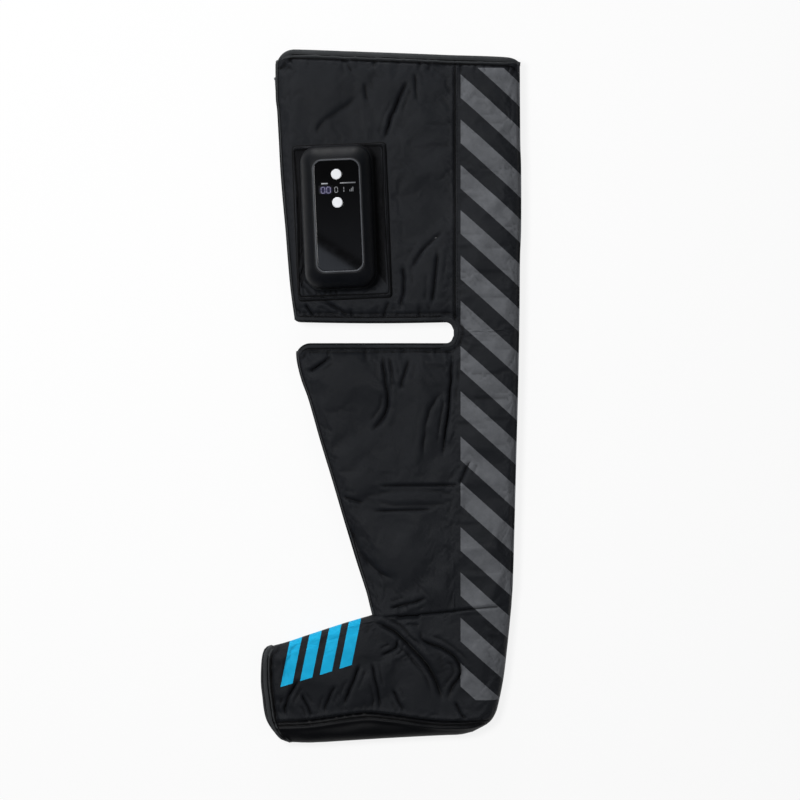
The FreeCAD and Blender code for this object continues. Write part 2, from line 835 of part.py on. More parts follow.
def zip_tape(ends, shares):
    """Two curved strips just inside the cover, one on each side of the teeth."""
    outer = R - COVER - GAP
    inner = outer - value("tape_thickness")
    first = math.asin(value("row_slot / 2 + tooth_reach + tape_gap") / inner)
    last = math.asin(value("tape_reach") / inner)
    strips = []
    for side in (1, -1):
        wires = []
        for share in shares:
            place = between(ends, share)

            def point(radius, angle):
                x = place["front"] + R - radius * math.cos(angle)
                return Vector(x, place["y"], R + side * radius * math.sin(angle))
            middle = (first + last) / 2
            wires.append(Part.Wire([
                Part.Arc(point(outer, first), point(outer, middle), point(outer, last)).toShape(),
                Part.makeLine(point(outer, last), point(inner, last)),
                Part.Arc(point(inner, last), point(inner, middle), point(inner, first)).toShape(),
                Part.makeLine(point(inner, first), point(outer, first)),
            ]))
        strips.append(Part.makeLoft(wires, True, True))
    return Part.makeCompound(strips)


def zip_teeth(place, length):
    """Two staggered rows with a narrow slot between them for the slider's post."""
    pitch = value("tooth_pitch")
    half = value("tooth_length") / 2
    tip = half * TOOTH_TIP_SHARE
    near = value("row_slot") / 2
    far = near + value("tooth_reach")
    neck = (near + far) / 2
    inset = value("tooth_inset")
    count = int(length // pitch)
    teeth = []
    for side in (1, -1):
        shift = pitch / 4 * side
        corners = [
            Vector(inset, -half, side * far),
            Vector(inset, half, side * far),
            Vector(inset, half, side * neck),
            Vector(inset, tip, side * near),
            Vector(inset, -tip, side * near),
            Vector(inset, -half, side * neck),
        ]
        face = Part.Face(Part.makePolygon(corners + corners[:1]))
        tooth = face.extrude(Vector(value("tooth_depth"), 0, 0))
        for i in range(count):
            copy = tooth.copy()
            copy.translate(Vector(0, pitch * (i + 1 / 2) + shift, 0))
            teeth.append(copy)
    return placed(Part.makeCompound(teeth), place)


def zip_stops(place, length):
    """One bottom stop across both rows and a top stop on each row."""
    stop = value("stop_length")
    near = value("row_slot") / 2
    reach = value("tooth_reach")
    depth = value("tooth_depth")
    inset = value("tooth_inset")
    bottom = Part.makeBox(depth, stop, 2 * (near + reach), Vector(inset, -stop - GAP, -near - reach))
    tops = []
    for low in (near, -near - reach):
        tops.append(Part.makeBox(depth, stop, reach, Vector(inset, length + GAP, low)))
    return placed(Part.makeCompound([bottom] + tops), place)


def slider_shape():
    """Slider about the chain: outer and inner plate, wedge post, side lips and pull bail."""
    length = value("slider_length")
    width = value("slider_width")
    plate = value("slider_plate")
    lip = value("slider_lip")
    front = value("tooth_inset") - GAP
    rear = value("tooth_inset") + value("tooth_depth") + GAP
    corner = Vector(front - plate, -length / 2, -width / 2)
    outer = Part.makeBox(plate, length, width, corner)
    inner = Part.makeBox(plate, length, width, Vector(rear, -length / 2, -width / 2))
    side_edges = [e for e in outer.Edges if e.BoundBox.XLength > plate / 2]
    outer = outer.makeFillet(width / 4, side_edges)
    side_edges = [e for e in inner.Edges if e.BoundBox.XLength > plate / 2]
    inner = inner.makeFillet(width / 4, side_edges)
    post_width = value("slider_post")
    post = Part.makeBox(rear - front + plate, length / 4, post_width,
                        Vector(front - plate / 2, length / 4 - plate, -post_width / 2))
    pieces = [outer, inner, post]
    straight = length - width / 2
    for side in (-width / 2, width / 2 - lip):
        for x, depth in ((front, lip), (rear - lip / 2, lip / 2)):
            pieces.append(Part.makeBox(depth, straight, lip, Vector(x, -straight / 2, side)))
    bail = value("bail_radius")
    leg = value("bail_leg")
    reach = value("bail_width") / 2
    centre = bail_offset()
    bar = Part.makeCylinder(bail, 2 * reach, Vector(centre, 0, -reach), Vector(0, 0, 1))
    pieces.append(bar)
    for side in (-reach, reach - leg):
        stem = Part.makeBox(front - plate / 2 - centre, 2 * bail, leg, Vector(centre, -bail, side))
        round_end = Part.makeCylinder(bail, leg, Vector(centre, 0, side), Vector(0, 0, 1))
        pieces += [stem, round_end]
    return pieces[0].fuse(pieces[1:]).removeSplitter()


def bail_offset():
    """How far the bail's bar lies ahead of the front edge, as a local X."""
    plate_face = value("tooth_inset") - GAP - value("slider_plate")
    return plate_face - value("pull_eye_radius") - GAP


def pull_shape():
    """Pull tab hanging from the bail, with a bored eye and a rounded grip."""
    centre = bail_offset()
    eye = value("pull_eye_radius")
    wide = value("pull_eye_width")
    thick = value("pull_thickness")
    grip = value("pull_width")
    length = value("pull_length")
    bore = value("bail_radius") + value("pin_gap")
    barrel = Part.makeCylinder(eye, wide, Vector(centre, 0, -wide / 2), Vector(0, 0, 1))
    neck = Part.makeBox(thick, length / 3, wide, Vector(centre - thick / 2, -length / 3, -wide / 2))
    start = Vector(centre - thick / 2, -length, -grip / 2)
    tab = Part.makeBox(thick, length * 3 / 4, grip, start)
    corners = [e for e in tab.Edges if e.BoundBox.XLength > thick / 2]
    tab = tab.makeFillet(grip / 3, corners)
    body = barrel.fuse([neck, tab]).removeSplitter()
    hole = Part.makeCylinder(bore, 2 * grip, Vector(centre, 0, -grip), Vector(0, 0, 1))
    return body.cut(hole)


for name, ends, top, bottom in (
    ("thigh", THIGH, "thigh_zip_top", "thigh_zip_bottom"),
    ("calf", CALF, "calf_zip_top", "calf_zip_bottom"),
):
    place, chain, edge = zip_line(ends, top, bottom)
    tape_top = (value(bottom) + chain + value("stop_length") + 2 * GAP) / edge
    tape_bottom = (value(bottom) - value("stop_length") - 2 * GAP) / edge
    feature(name + "_zip_tape", zip_tape(ends, (tape_bottom, tape_top)))
    feature(name + "_zip_teeth", zip_teeth(place, chain))
    feature(name + "_zip_stops", zip_stops(place, chain))
    rest = FreeCAD.Placement(Vector(0, chain - value("slider_length") / 2, 0), FreeCAD.Rotation())
    feature(name + "_zip_slider", placed(slider_shape(), place.multiply(rest)))
    feature(name + "_zip_pull", placed(pull_shape(), place.multiply(rest)))

# pocket that holds the control unit on the thigh

pocket_body = doc.addObject("PartDesign::Body", "PocketBody")
sketch = new_sketch(pocket_body, "PocketPlan", "0", "pocket_shift_x", "-pocket_drop_y")
rounded_loop(sketch, "patch", "pump_width + 2 * pocket_side", "pump_length + 2 * pocket_end",
             "pocket_corner")
pad(pocket_body, "PocketPatch", sketch, "pocket_thickness")
low = new_sketch(pocket_body, "CollarFoot", "pocket_thickness")
rounded_loop(low, "foot", "pump_width + 2 * collar_flare", "pump_length + 2 * collar_flare",
             "pump_corner + collar_flare")
high = new_sketch(pocket_body, "CollarTop", "pocket_thickness + collar_height")
rounded_loop(high, "top", "pump_width + 2 * collar_lip", "pump_length + 2 * collar_lip",
             "pump_corner + collar_lip")
loft(pocket_body, "Collar", "Additive", [low, high])
sketch = new_sketch(pocket_body, "PocketWindow", "pocket_thickness + collar_height")
rounded_loop(sketch, "window", "pump_width + 2 * collar_gap", "pump_length + 2 * collar_gap",
             "pump_corner + collar_gap")
pocket(pocket_body, "PocketOpening", sketch, "pocket_thickness + collar_height")
finish(pocket_body, "pump_pocket", True)

# control unit: rear case

rear = doc.addObject("PartDesign::Body", "RearBody")
sketch = new_sketch(rear, "RearPlan")
rounded_loop(sketch, "outer", "pump_width", "pump_length", "pump_corner")
base = pad(rear, "RearBlock", sketch, "rear_height")
ease(rear, "RearEdge", "Fillet", base, at_level("0"), "base_round")
sketch = new_sketch(rear, "RearHollowPlan", "rear_height")
rounded_loop(sketch, "inner", "pump_width - 2 * case_wall", "pump_length - 2 * case_wall",
             "pump_corner - case_wall")
pocket(rear, "RearHollow", sketch, "rear_height - case_wall")
CORNERS = []
for side in ("", "-"):
    for end in ("", "-"):
        CORNERS.append((side + BOSS_X, end + BOSS_Y))
for i, (x, y) in enumerate(CORNERS):
    body_rod(rear, "RearBoss%d" % i, "Additive", "boss_radius", "rear_height - case_wall / 2", x, y,
             "case_wall / 2")
for i, (x, y) in enumerate(CORNERS):
    body_rod(rear, "RearHole%d" % i, "Subtractive", "screw_radius + screw_gap",
             "rear_height + 2 * overrun", x, y, "-overrun")
    body_rod(rear, "RearRecess%d" % i, "Subtractive", "screw_head_radius + fit_gap",
             "screw_recess + overrun", x, y, "-overrun")
sketch = new_sketch(rear, "SealGroovePlan", "rear_height")
SEAL_IN = "case_wall / 2 - seal_width / 2"
for tag, inset in (("far", SEAL_IN + " - seal_gap"), ("near", SEAL_IN + " + seal_width + seal_gap")):
    rounded_loop(sketch, tag, "pump_width - 2 * (%s)" % inset, "pump_length - 2 * (%s)" % inset,
                 "pump_corner - (%s)" % inset)
pocket(rear, "SealGroove", sketch, "seal_height")
body_block(rear, "FloorSlot", "Subtractive",
           ("floor_slot_width", "floor_slot_length", "2 * overrun"),
           ("-floor_slot_width / 2", MANIFOLD_Y + " - floor_slot_length / 2", "-overrun"))
body_block(rear, "PortCut", "Subtractive",
           ("port_width + 2 * fit_gap", "overrun", "port_height + 2 * fit_gap"),
           ("-port_width / 2 - fit_gap", "-pump_length / 2 - overrun + case_wall + fit_gap",
            "port_level - port_height / 2 - fit_gap"))
finish(rear, "pump_rear_case", True)

seal = doc.addObject("PartDesign::Body", "SealBody")
sketch = new_sketch(seal, "SealPlan", "rear_height - seal_height")
for tag, inset in (("far", SEAL_IN), ("near", SEAL_IN + " + seal_width")):
    rounded_loop(sketch, tag, "pump_width - 2 * (%s)" % inset, "pump_length - 2 * (%s)" % inset,
                 "pump_corner - (%s)" % inset)
pad(seal, "SealRing", sketch, "seal_height")
finish(seal, "case_seal", True)

# control unit: front case with a soft shouldered flank

front = doc.addObject("PartDesign::Body", "FrontBody")


def flank(name, shrink, top):
    sketches = []
    for i, (height_share, width_share) in enumerate(FLANK_SHARES):
        level = "rear_height + (%s - rear_height) * %s" % (top, height_share)
        plan = new_sketch(front, "%s%d" % (name, i), level)
        sizes = []
        for outer, inner in (("pump_width", RING_WIDTH), ("pump_length", RING_LENGTH),
                             ("2 * pump_corner", "2 * ring_corner")):
            sizes.append("%s + (%s - %s) * %s - 2 * %s" % (inner, outer, inner, width_share, shrink))
        rounded_loop(plan, "loop", sizes[0], sizes[1], "(%s) / 2" % sizes[2])
        sketches.append(plan)
    return sketches


DECK_TOP = "(pump_height - panel_thickness)"
DECK = "(pump_height - panel_thickness - deck_thickness)"
loft(front, "FrontBlock", "Additive", flank("Flank", "0", "pump_height"))
loft(front, "FrontHollow", "Subtractive", flank("Hollow", "case_wall", DECK))
for i, (x, y) in enumerate(CORNERS):
    body_rod(front, "FrontBoss%d" % i, "Additive", "boss_radius", "boss_rise", x, y, "rear_height")
BOARD_TOP = "(%s - button_travel - switch_height - plunger_height - fit_gap)" % DECK
STANDOFFS = []
for side in ("", "-"):
    for end in ("+", "-"):
        STANDOFFS.append((side + "(board_width / 2 - standoff_edge)",
                          BOARD_Y + " %s (board_length / 2 - standoff_edge)" % end))
for i, (x, y) in enumerate(STANDOFFS):
    body_rod(front, "Standoff%d" % i, "Additive", "standoff_radius",
             "%s + deck_thickness / 2 - %s" % (DECK, BOARD_TOP), x, y, BOARD_TOP)
for i, (x, y) in enumerate(CORNERS):
    body_rod(front, "FrontHole%d" % i, "Subtractive", "screw_radius + screw_gap",
             "boss_rise - screw_radius + overrun", x, y, "rear_height - overrun")
sketch = new_sketch(front, "PanelSeatPlan", "pump_height + overrun")
rounded_loop(sketch, "seat", RING_WIDTH + " + 2 * fit_gap", RING_LENGTH + " + 2 * fit_gap",
             "ring_corner + fit_gap")
pocket(front, "PanelSeat", sketch, "panel_thickness + overrun")
sketch = new_sketch(front, "DeckWindowPlan", "pump_height", "0", DISPLAY_Y)
rounded_loop(sketch, "window", "window_width", "window_length", "window_corner")
pocket(front, "DeckWindow", sketch, "panel_thickness + deck_thickness + standoff_radius")
finish(front, "pump_front_case", True)

trim = doc.addObject("PartDesign::Body", "TrimBody")
sketch = new_sketch(trim, "TrimPlan", DECK_TOP)
rounded_loop(sketch, "outer", RING_WIDTH, RING_LENGTH, "ring_corner")
rounded_loop(sketch, "inner", RING_WIDTH + " - 2 * ring_band", RING_LENGTH + " - 2 * ring_band",
             "ring_corner - ring_band")
base = pad(trim, "TrimRing", sketch, "panel_thickness + ring_proud")
ease(trim, "TrimEdge", "Chamfer", base, at_level("pump_height + ring_proud"), "ring_edge")
finish(trim, "trim_ring", True)

panel = doc.addObject("PartDesign::Body", "PanelBody")
sketch = new_sketch(panel, "PanelPlan", DECK_TOP)
rounded_loop(sketch, "outer", RING_WIDTH + " - 2 * ring_band - 2 * fit_gap",
             RING_LENGTH + " - 2 * ring_band - 2 * fit_gap", "ring_corner - ring_band - fit_gap")
round_loop(sketch, "power", "button_radius + button_gap", POWER_Y)
round_loop(sketch, "mode", "button_radius + button_gap", MODE_Y)
base = pad(panel, "PanelPlate", sketch, "panel_thickness")
ease(panel, "PanelEdge", "Fillet", base, at_level("pump_height"), "panel_edge")
finish(panel, "face_panel", True)

# push buttons, held up under the panel by a flange, over two switches

FLANGE_TOP = "(%s - button_gap)" % DECK_TOP
for label, up in (("power_button", POWER_Y), ("mode_button", MODE_Y)):
    button = doc.addObject("PartDesign::Body", label + "_body")
    sketch = new_sketch(button, label + "_cap", FLANGE_TOP + " - button_flange_height", "0", up)
    round_loop(sketch, "cap", "button_radius")
    base = pad(button, label + "_stem", sketch,
               "panel_thickness + button_gap + button_flange_height + button_proud")
    base = ease(button, label + "_edge", "Fillet", base, at_level("pump_height + button_proud"),
                "button_edge")
    sketch = new_sketch(button, label + "_rim", FLANGE_TOP + " - button_flange_height", "0", up)
    round_loop(sketch, "rim", "button_radius + button_flange")
    pad(button, label + "_flange", sketch, "button_flange_height")
    finish(button, label, True)

# electronics on the front case

BOARD = BOARD_TOP + " - board_thickness"
board = doc.addObject("PartDesign::Body", "BoardBody")
sketch = new_sketch(board, "BoardPlan", BOARD, "0", BOARD_Y)
rounded_loop(sketch, "board", "board_width", "board_length", "standoff_radius")
pad(board, "BoardPlate", sketch, "board_thickness")
finish(board, "main_board", True)

display = block("display_block", ("display_width", "display_length", "display_height"),
                ("-display_width / 2", DISPLAY_Y + " - display_length / 2", BOARD_TOP))
display = joined("display_unit", [display])
finish(display, "display_module", True)

switches = []
for i, up in enumerate((POWER_Y, MODE_Y)):
    switches.append(block("switch_box%d" % i, ("switch_body", "switch_body", "switch_height"),
                          ("-switch_body / 2", up + " - switch_body / 2", BOARD_TOP)))
    switches.append(rod("switch_top%d" % i, "plunger_radius", "plunger_height + switch_height / 2",
                        ("0", up, BOARD_TOP + " + switch_height / 2")))
finish(joined("switch_set", switches), "button_switches", True)

# battery, air pump and valves on the rear case

cells = []
troughs = []
CELL_LEVEL = "case_wall + cell_floor + cell_radius"
for i, side in enumerate(("-", "+")):
    x = "cell_x %s cell_pitch / 2" % side
    cells.append(rod("cell%d" % i, "cell_radius", "cell_length",
                     (x, CELL_LOW_Y, CELL_LEVEL), "y"))
    troughs.append(rod("trough%d" % i, "cell_radius + fit_gap", "cell_length + 2 * fit_gap",
                       (x, CELL_LOW_Y + " - fit_gap", CELL_LEVEL), "y"))
finish(joined("cell_pair", cells), "battery_cells", True)
cradle = block("cradle_block",
               ("cell_pitch + 2 * cell_radius + 2 * cradle_rim", "cell_length + 4 * cradle_rim",
                "cradle_height"),
               ("cell_x - cell_pitch / 2 - cell_radius - cradle_rim",
                CELL_LOW_Y + " - 2 * cradle_rim", "case_wall"))
finish(without("cradle_cut", cradle, joined("trough_pair", troughs)), "battery_cradle", True)

HEAD_LOW_Y = "(head_end - head_length - pump_length / 2)"
MOTOR_LEVEL = "case_wall + head_side / 2"
motor = rod("motor_can", "motor_radius", "motor_length",
            ("air_pump_x", HEAD_LOW_Y + " - motor_length", MOTOR_LEVEL), "y")
finish(joined("motor_unit", [motor]), "pump_motor", True)
head = block("head_block", ("head_side", "head_length", "head_side"),
             ("air_pump_x - head_side / 2", HEAD_LOW_Y, "case_wall"))
nozzle = rod("head_nozzle", "nozzle_radius", "nozzle_length + overrun / 2",
             ("air_pump_x", HEAD_TOP_Y + " - overrun / 2", "nozzle_level"), "y")
finish(joined("head_unit", [head, nozzle]), "pump_head", True)
saddle = block("saddle_block", ("saddle_width", "saddle_length", "saddle_height"),
               ("air_pump_x - saddle_width / 2", HEAD_LOW_Y + " - motor_length / 2 - saddle_length / 2",
                "case_wall"))
bed = rod("saddle_bed", "motor_radius + fit_gap", "saddle_length + 2 * overrun",
          ("air_pump_x", HEAD_LOW_Y + " - motor_length / 2 - saddle_length / 2 - overrun",
           MOTOR_LEVEL), "y")
finish(without("saddle_cut", saddle, bed), "motor_saddle", True)

manifold = block("manifold_block", ("manifold_width", "manifold_length", "manifold_height"),
                 ("-manifold_width / 2", MANIFOLD_Y + " - manifold_length / 2", "case_wall"))
inlet = rod("manifold_inlet", "nozzle_radius", "nozzle_length + manifold_length / 2",
            ("air_pump_x", MANIFOLD_Y + " - manifold_length / 2 - nozzle_length", "nozzle_level"), "y")
finish(joined("manifold_unit", [manifold, inlet]), "valve_manifold", True)
TUBE_START = HEAD_TOP_Y + " + tube_end_gap"
TUBE_LENGTH = "manifold_gap - manifold_length / 2 - 2 * tube_end_gap"
tube = rod("tube_wall_rod", "nozzle_radius + tube_gap + tube_wall", TUBE_LENGTH,
           ("air_pump_x", TUBE_START, "nozzle_level"), "y")
tube_hole = rod("tube_hole_rod", "nozzle_radius + tube_gap", TUBE_LENGTH + " + 2 * overrun",
                ("air_pump_x", TUBE_START + " - overrun", "nozzle_level"), "y")
finish(without("tube_cut", tube, tube_hole), "feed_tube", True)

OUTLETS = ["outlet_pitch * %s" % share for share in OUTLET_SHARES]
valves = []
for i, x in enumerate(OUTLETS):
    valves.append(block("valve%d" % i, ("valve_width", "valve_length", "valve_height"),
                        (x + " - valve_width / 2", MANIFOLD_Y + " - valve_length / 2",
                         "case_wall + manifold_height")))
finish(joined("valve_set", valves), "solenoid_valves", True)

# charging port in the lower end wall

shell = block("port_shell", ("port_width", "port_depth", "port_height"),
              ("-port_width / 2", "-pump_length / 2 + case_wall / 2", "port_level - port_height / 2"))
mouth = block("port_mouth", ("port_width - 2 * port_wall", "port_depth - port_wall",
                             "port_height - 2 * port_wall"),
              ("-port_width / 2 + port_wall", "-pump_length / 2 + case_wall / 2",
               "port_level - port_height / 2 + port_wall"))
tongue = block("port_tongue", ("port_width - 8 * port_wall", "port_depth - 4 * port_wall",
                               "2 * port_wall"),
               ("-port_width / 2 + 4 * port_wall", "-pump_length / 2 + case_wall / 2 + 4 * port_wall",
                "port_level - port_wall"))
finish(joined("port_unit", [without("port_cut", shell, mouth), tongue]), "charge_port", True)
port_board = block("port_board_block",
                   ("port_board_width", "port_board_length", "port_board_thickness"),
                   ("-port_board_width / 2", "-pump_length / 2 + case_wall + fit_gap",
                    "port_level - port_height / 2 - port_board_thickness"))
port_post = block("port_post_block",
                  ("port_board_width / 2", "port_board_length",
                   "port_level - port_height / 2 - port_board_thickness - case_wall"),
                  ("-port_board_width / 4", "-pump_length / 2 + case_wall + fit_gap", "case_wall"))
finish(joined("port_board_unit", [port_board, port_post]), "charge_board", True)

screws = []
for i, (x, y) in enumerate(CORNERS):
    screws.append(rod("screw_head%d" % i, "screw_head_radius", "screw_head_height",
                      (x, y, "screw_recess - screw_head_height")))
    screws.append(rod("screw_stem%d" % i, "screw_radius", "screw_reach",
                      (x, y, "screw_recess - screw_head_height / 2")))
finish(joined("screw_set", screws), "case_screws", True)

# air lines inside the near wall: elbows under the unit, hoses, ports on the chambers

HOSE_Z = T - COVER - value("hose_space") / 2
HOSE_R = value("hose_radius")
BARB_R = value("hose_bore - tube_gap")
BARB = value("barb_length")
ELBOW_R = value("elbow_radius")
END_GAP = value("hose_end_gap")
down = frame.Rotation.multVec(Vector(0, -1, 0))
outlets = []
for share in OUTLET_SHARES:
    spot = Vector(share * value("outlet_pitch"), value(MANIFOLD_Y), value("case_wall"))
    outlets.append(frame.multVec(spot))

elbows = []
for top in outlets:
    corner = Vector(top.x, top.y, HOSE_Z)
    drop = top.z - HOSE_Z + HOSE_R
    stem = Part.makeCylinder(ELBOW_R, drop, Vector(top.x, top.y, HOSE_Z - HOSE_R))
    barb = Part.makeCylinder(BARB_R, ELBOW_R + END_GAP + BARB, corner, down)
    bore = Part.makeCylinder(BARB_R / 2, WIDE, corner)
    side_bore = Part.makeCylinder(BARB_R / 2, WIDE, corner, down)
    elbows.append(stem.fuse(barb).cut(bore).cut(side_bore))
feature("outlet_elbows", Part.makeCompound(elbows))


def hose_path(points):
    """Straight runs joined by equal bends."""
    bend = value("hose_bend")
    edges = []
    last = points[0]
    for before, corner, after in zip(points, points[1:], points[2:]):
        back_way = (before - corner).normalize()
        on_way = (after - corner).normalize()
        half = back_way.getAngle(on_way) / 2
        reach = bend / math.tan(half)
        enter = corner + back_way * reach
        leave = corner + on_way * reach
        inward = (back_way + on_way).normalize()
        middle = corner + inward * (bend / math.sin(half) - bend)
        edges.append(Part.makeLine(last, enter))
        edges.append(Part.Arc(enter, middle, leave).toShape())
        last = leave
    edges.append(Part.makeLine(last, points[-1]))
    return Part.Wire(edges)


def hose_shape(points):
    path = hose_path(points)
    way = (points[1] - points[0]).normalize()
    pipes = []
    for radius in (HOSE_R, value("hose_bore")):
        ring = Part.Wire(Part.makeCircle(radius, points[0], way))
        pipes.append(path.makePipe(Part.Face(ring)))
    return pipes[0].cut(pipes[1])


def chamber_port(spot, way):
    """Welded disc, boss and barb that take a hose coming from the given way."""
    boss = value("port_boss")
    disc_low = T - NEAR_CHAMBER
    disc = Part.makeCylinder(value("port_disc_radius"), value("port_disc_height"),
                             Vector(spot.x, spot.y, disc_low))
    height = T - COVER - END_GAP - disc_low
    stand = Part.makeBox(boss, boss, height, Vector(-boss / 2, -boss / 2, 0))
    turn = FreeCAD.Rotation(Vector(0, 1, 0), way)
    stand.Placement = FreeCAD.Placement(Vector(spot.x, spot.y, disc_low), turn)
    barb = Part.makeCylinder(BARB_R, boss / 2 + END_GAP + BARB, Vector(spot.x, spot.y, HOSE_Z), way)
    return disc.fuse([stand, barb]).removeSplitter()


up = Vector(0, 1, 0)
clear = value("port_boss") / 2 + END_GAP
lanes = (
    ("calf_lane", SLOT_BOTTOM - value("calf_port_drop")),
    ("ankle_lane", ANKLE_Y + value("ankle_port_rise")),
    ("foot_lane", ANKLE_Y - value("foot_port_drop")),
)
ports = []
hoses = []
start = outlets[0] + down * (ELBOW_R + END_GAP)
start.z = HOSE_Z
end = start + down * value("thigh_port_run")
hoses.append(hose_shape([start, end]))
ports.append(chamber_port(end + down * clear, down * -1))
for i, (lane, port_y) in enumerate(lanes):
    start = outlets[i + 1] + down * (ELBOW_R + END_GAP)
    start.z = HOSE_Z
    lane_x = SEAM + value(lane)
    lane_y = outlets[0].y - value("lane_drop") - value("lane_step") * (3 - i)
    turn = start + down * ((start.y - lane_y) / -down.y)
    points = [start, turn, Vector(lane_x, lane_y, HOSE_Z), Vector(lane_x, port_y + clear, HOSE_Z)]
    hoses.append(hose_shape(points))
    ports.append(chamber_port(Vector(lane_x, port_y, HOSE_Z), up))
feature("air_hoses", Part.makeCompound(hoses))
feature("chamber_ports", Part.makeCompound(ports))

doc.recompute()
for item in doc.Objects:
    if "Invalid" in item.State or "Error" in item.State:
        raise RuntimeError("%s: %s" % (item.Label, item.State))
os.makedirs("parts", exist_ok=True)
for item in finished:
    shape = item.Shape
    if shape.isNull() or not shape.isValid():
        raise RuntimeError("%s has no valid shape" % item.Label)
    shape.exportStep("parts/%s.step" % item.Label)
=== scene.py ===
import math
from copy import copy

import bpy
import numpy as np
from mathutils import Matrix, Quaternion, Vector, kdtree, noise


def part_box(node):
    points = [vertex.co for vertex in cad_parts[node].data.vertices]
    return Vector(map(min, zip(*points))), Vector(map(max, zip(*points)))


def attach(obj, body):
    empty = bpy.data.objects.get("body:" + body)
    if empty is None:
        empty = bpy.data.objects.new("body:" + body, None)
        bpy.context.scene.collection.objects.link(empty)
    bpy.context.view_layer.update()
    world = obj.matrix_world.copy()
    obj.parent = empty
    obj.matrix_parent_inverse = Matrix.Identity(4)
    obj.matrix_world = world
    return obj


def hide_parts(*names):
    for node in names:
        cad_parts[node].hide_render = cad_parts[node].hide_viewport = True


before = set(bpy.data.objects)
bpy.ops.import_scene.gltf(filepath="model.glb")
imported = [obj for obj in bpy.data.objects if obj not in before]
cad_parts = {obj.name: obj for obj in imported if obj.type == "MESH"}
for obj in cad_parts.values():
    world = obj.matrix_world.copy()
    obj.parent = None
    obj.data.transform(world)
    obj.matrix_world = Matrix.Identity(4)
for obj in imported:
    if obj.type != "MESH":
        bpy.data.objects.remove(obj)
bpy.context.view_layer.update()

# Looks of a full-leg air compression boot lying flat. Shapes below are in millimetres,
# in the CAD frame: X to the back of the leg, Y to the hip, Z up.

MM = 0.001
UP = np.array([0.0, 0.0, 1.0])

# levels of the sleeve, and the radius of its folded edges
MID = 15.0
NEAR_TOP = 30.5
FAR_LOW = 0.4
EDGE_ROUND = 17.0

# plan of the sleeve: edges of the leg as (y, x), edges of the foot as (x, y)
CUFF_Y = 440.9
CUFF_SLOPE = 10.8 / 297
CUFF_FRONT_X = -133.0
CUFF_LEVEL = 430.0
CUFF_ROUND = 25.0
CUFF_BACK_ROUND = 16.0
CUFF_BACK_SHARE = 0.45
HEM_Y = 97.0
HEM_SAG = 1.5
HEM_ROUND = 6.0
CALF_TOP_Y = 67.3
CALF_TOP_ROUND = 18.0
SLOT_ROUND = 11.0
SEAM_X = 82.0
FRONT_THIGH = ((440, -147.6), (385, -147.2), (366, -145.3), (328, -143.2), (289, -141.1), (251, -138.1),
               (213, -134.6), (175, -131.6), (136, -128), (97, -122.6))
FRONT_CALF = ((68, -121.2), (47, -120.4), (22, -114.4), (-4, -105), (-55, -90.5), (-106, -75), (-157, -60),
              (-208, -44.5), (-250, -31), (-278, -23.6))
BACK = ((440, 164.6), (330, 165.3), (290, 166.4), (215, 166.4), (175, 165), (100, 164.2), (20, 162.8),
        (-70, 160.4), (-155, 158.2), (-233, 156), (-266, 154.4))
ANKLE_FRONT_Y = -278.0
ANKLE_BACK_Y = -266.0
INSTEP = ((-23.6, -278), (-58, -288), (-101, -302), (-131, -312), (-153, -318))
TOE = ((-153, -318), (-160, -322.5), (-163.5, -333), (-164.8, -350), (-164.8, -368), (-163, -384),
       (-161.3, -399), (-158, -413), (-151.2, -425), (-142, -434.6), (-129, -440.2))
SOLE = ((-129, -440.2), (-94, -440.6), (-10, -435.6), (60, -431.9), (88, -430.6), (105, -427))
HEEL = ((154.4, -266), (150, -310), (144.6, -356), (138.2, -389), (133.4, -404.5), (124.6, -416),
        (105, -427))
SOLE_SEAM = ((-165, -417), (-151, -414), (-103, -411), (-36, -402), (-1, -404), (63, -412), (119, -411),
             (140, -404))
SOLE_REACH_Y = -380.0
# ways in from the instep and the sole
INSTEP_IN = np.array([0.3, -0.95])
SOLE_IN = np.array([0.0, 1.0])

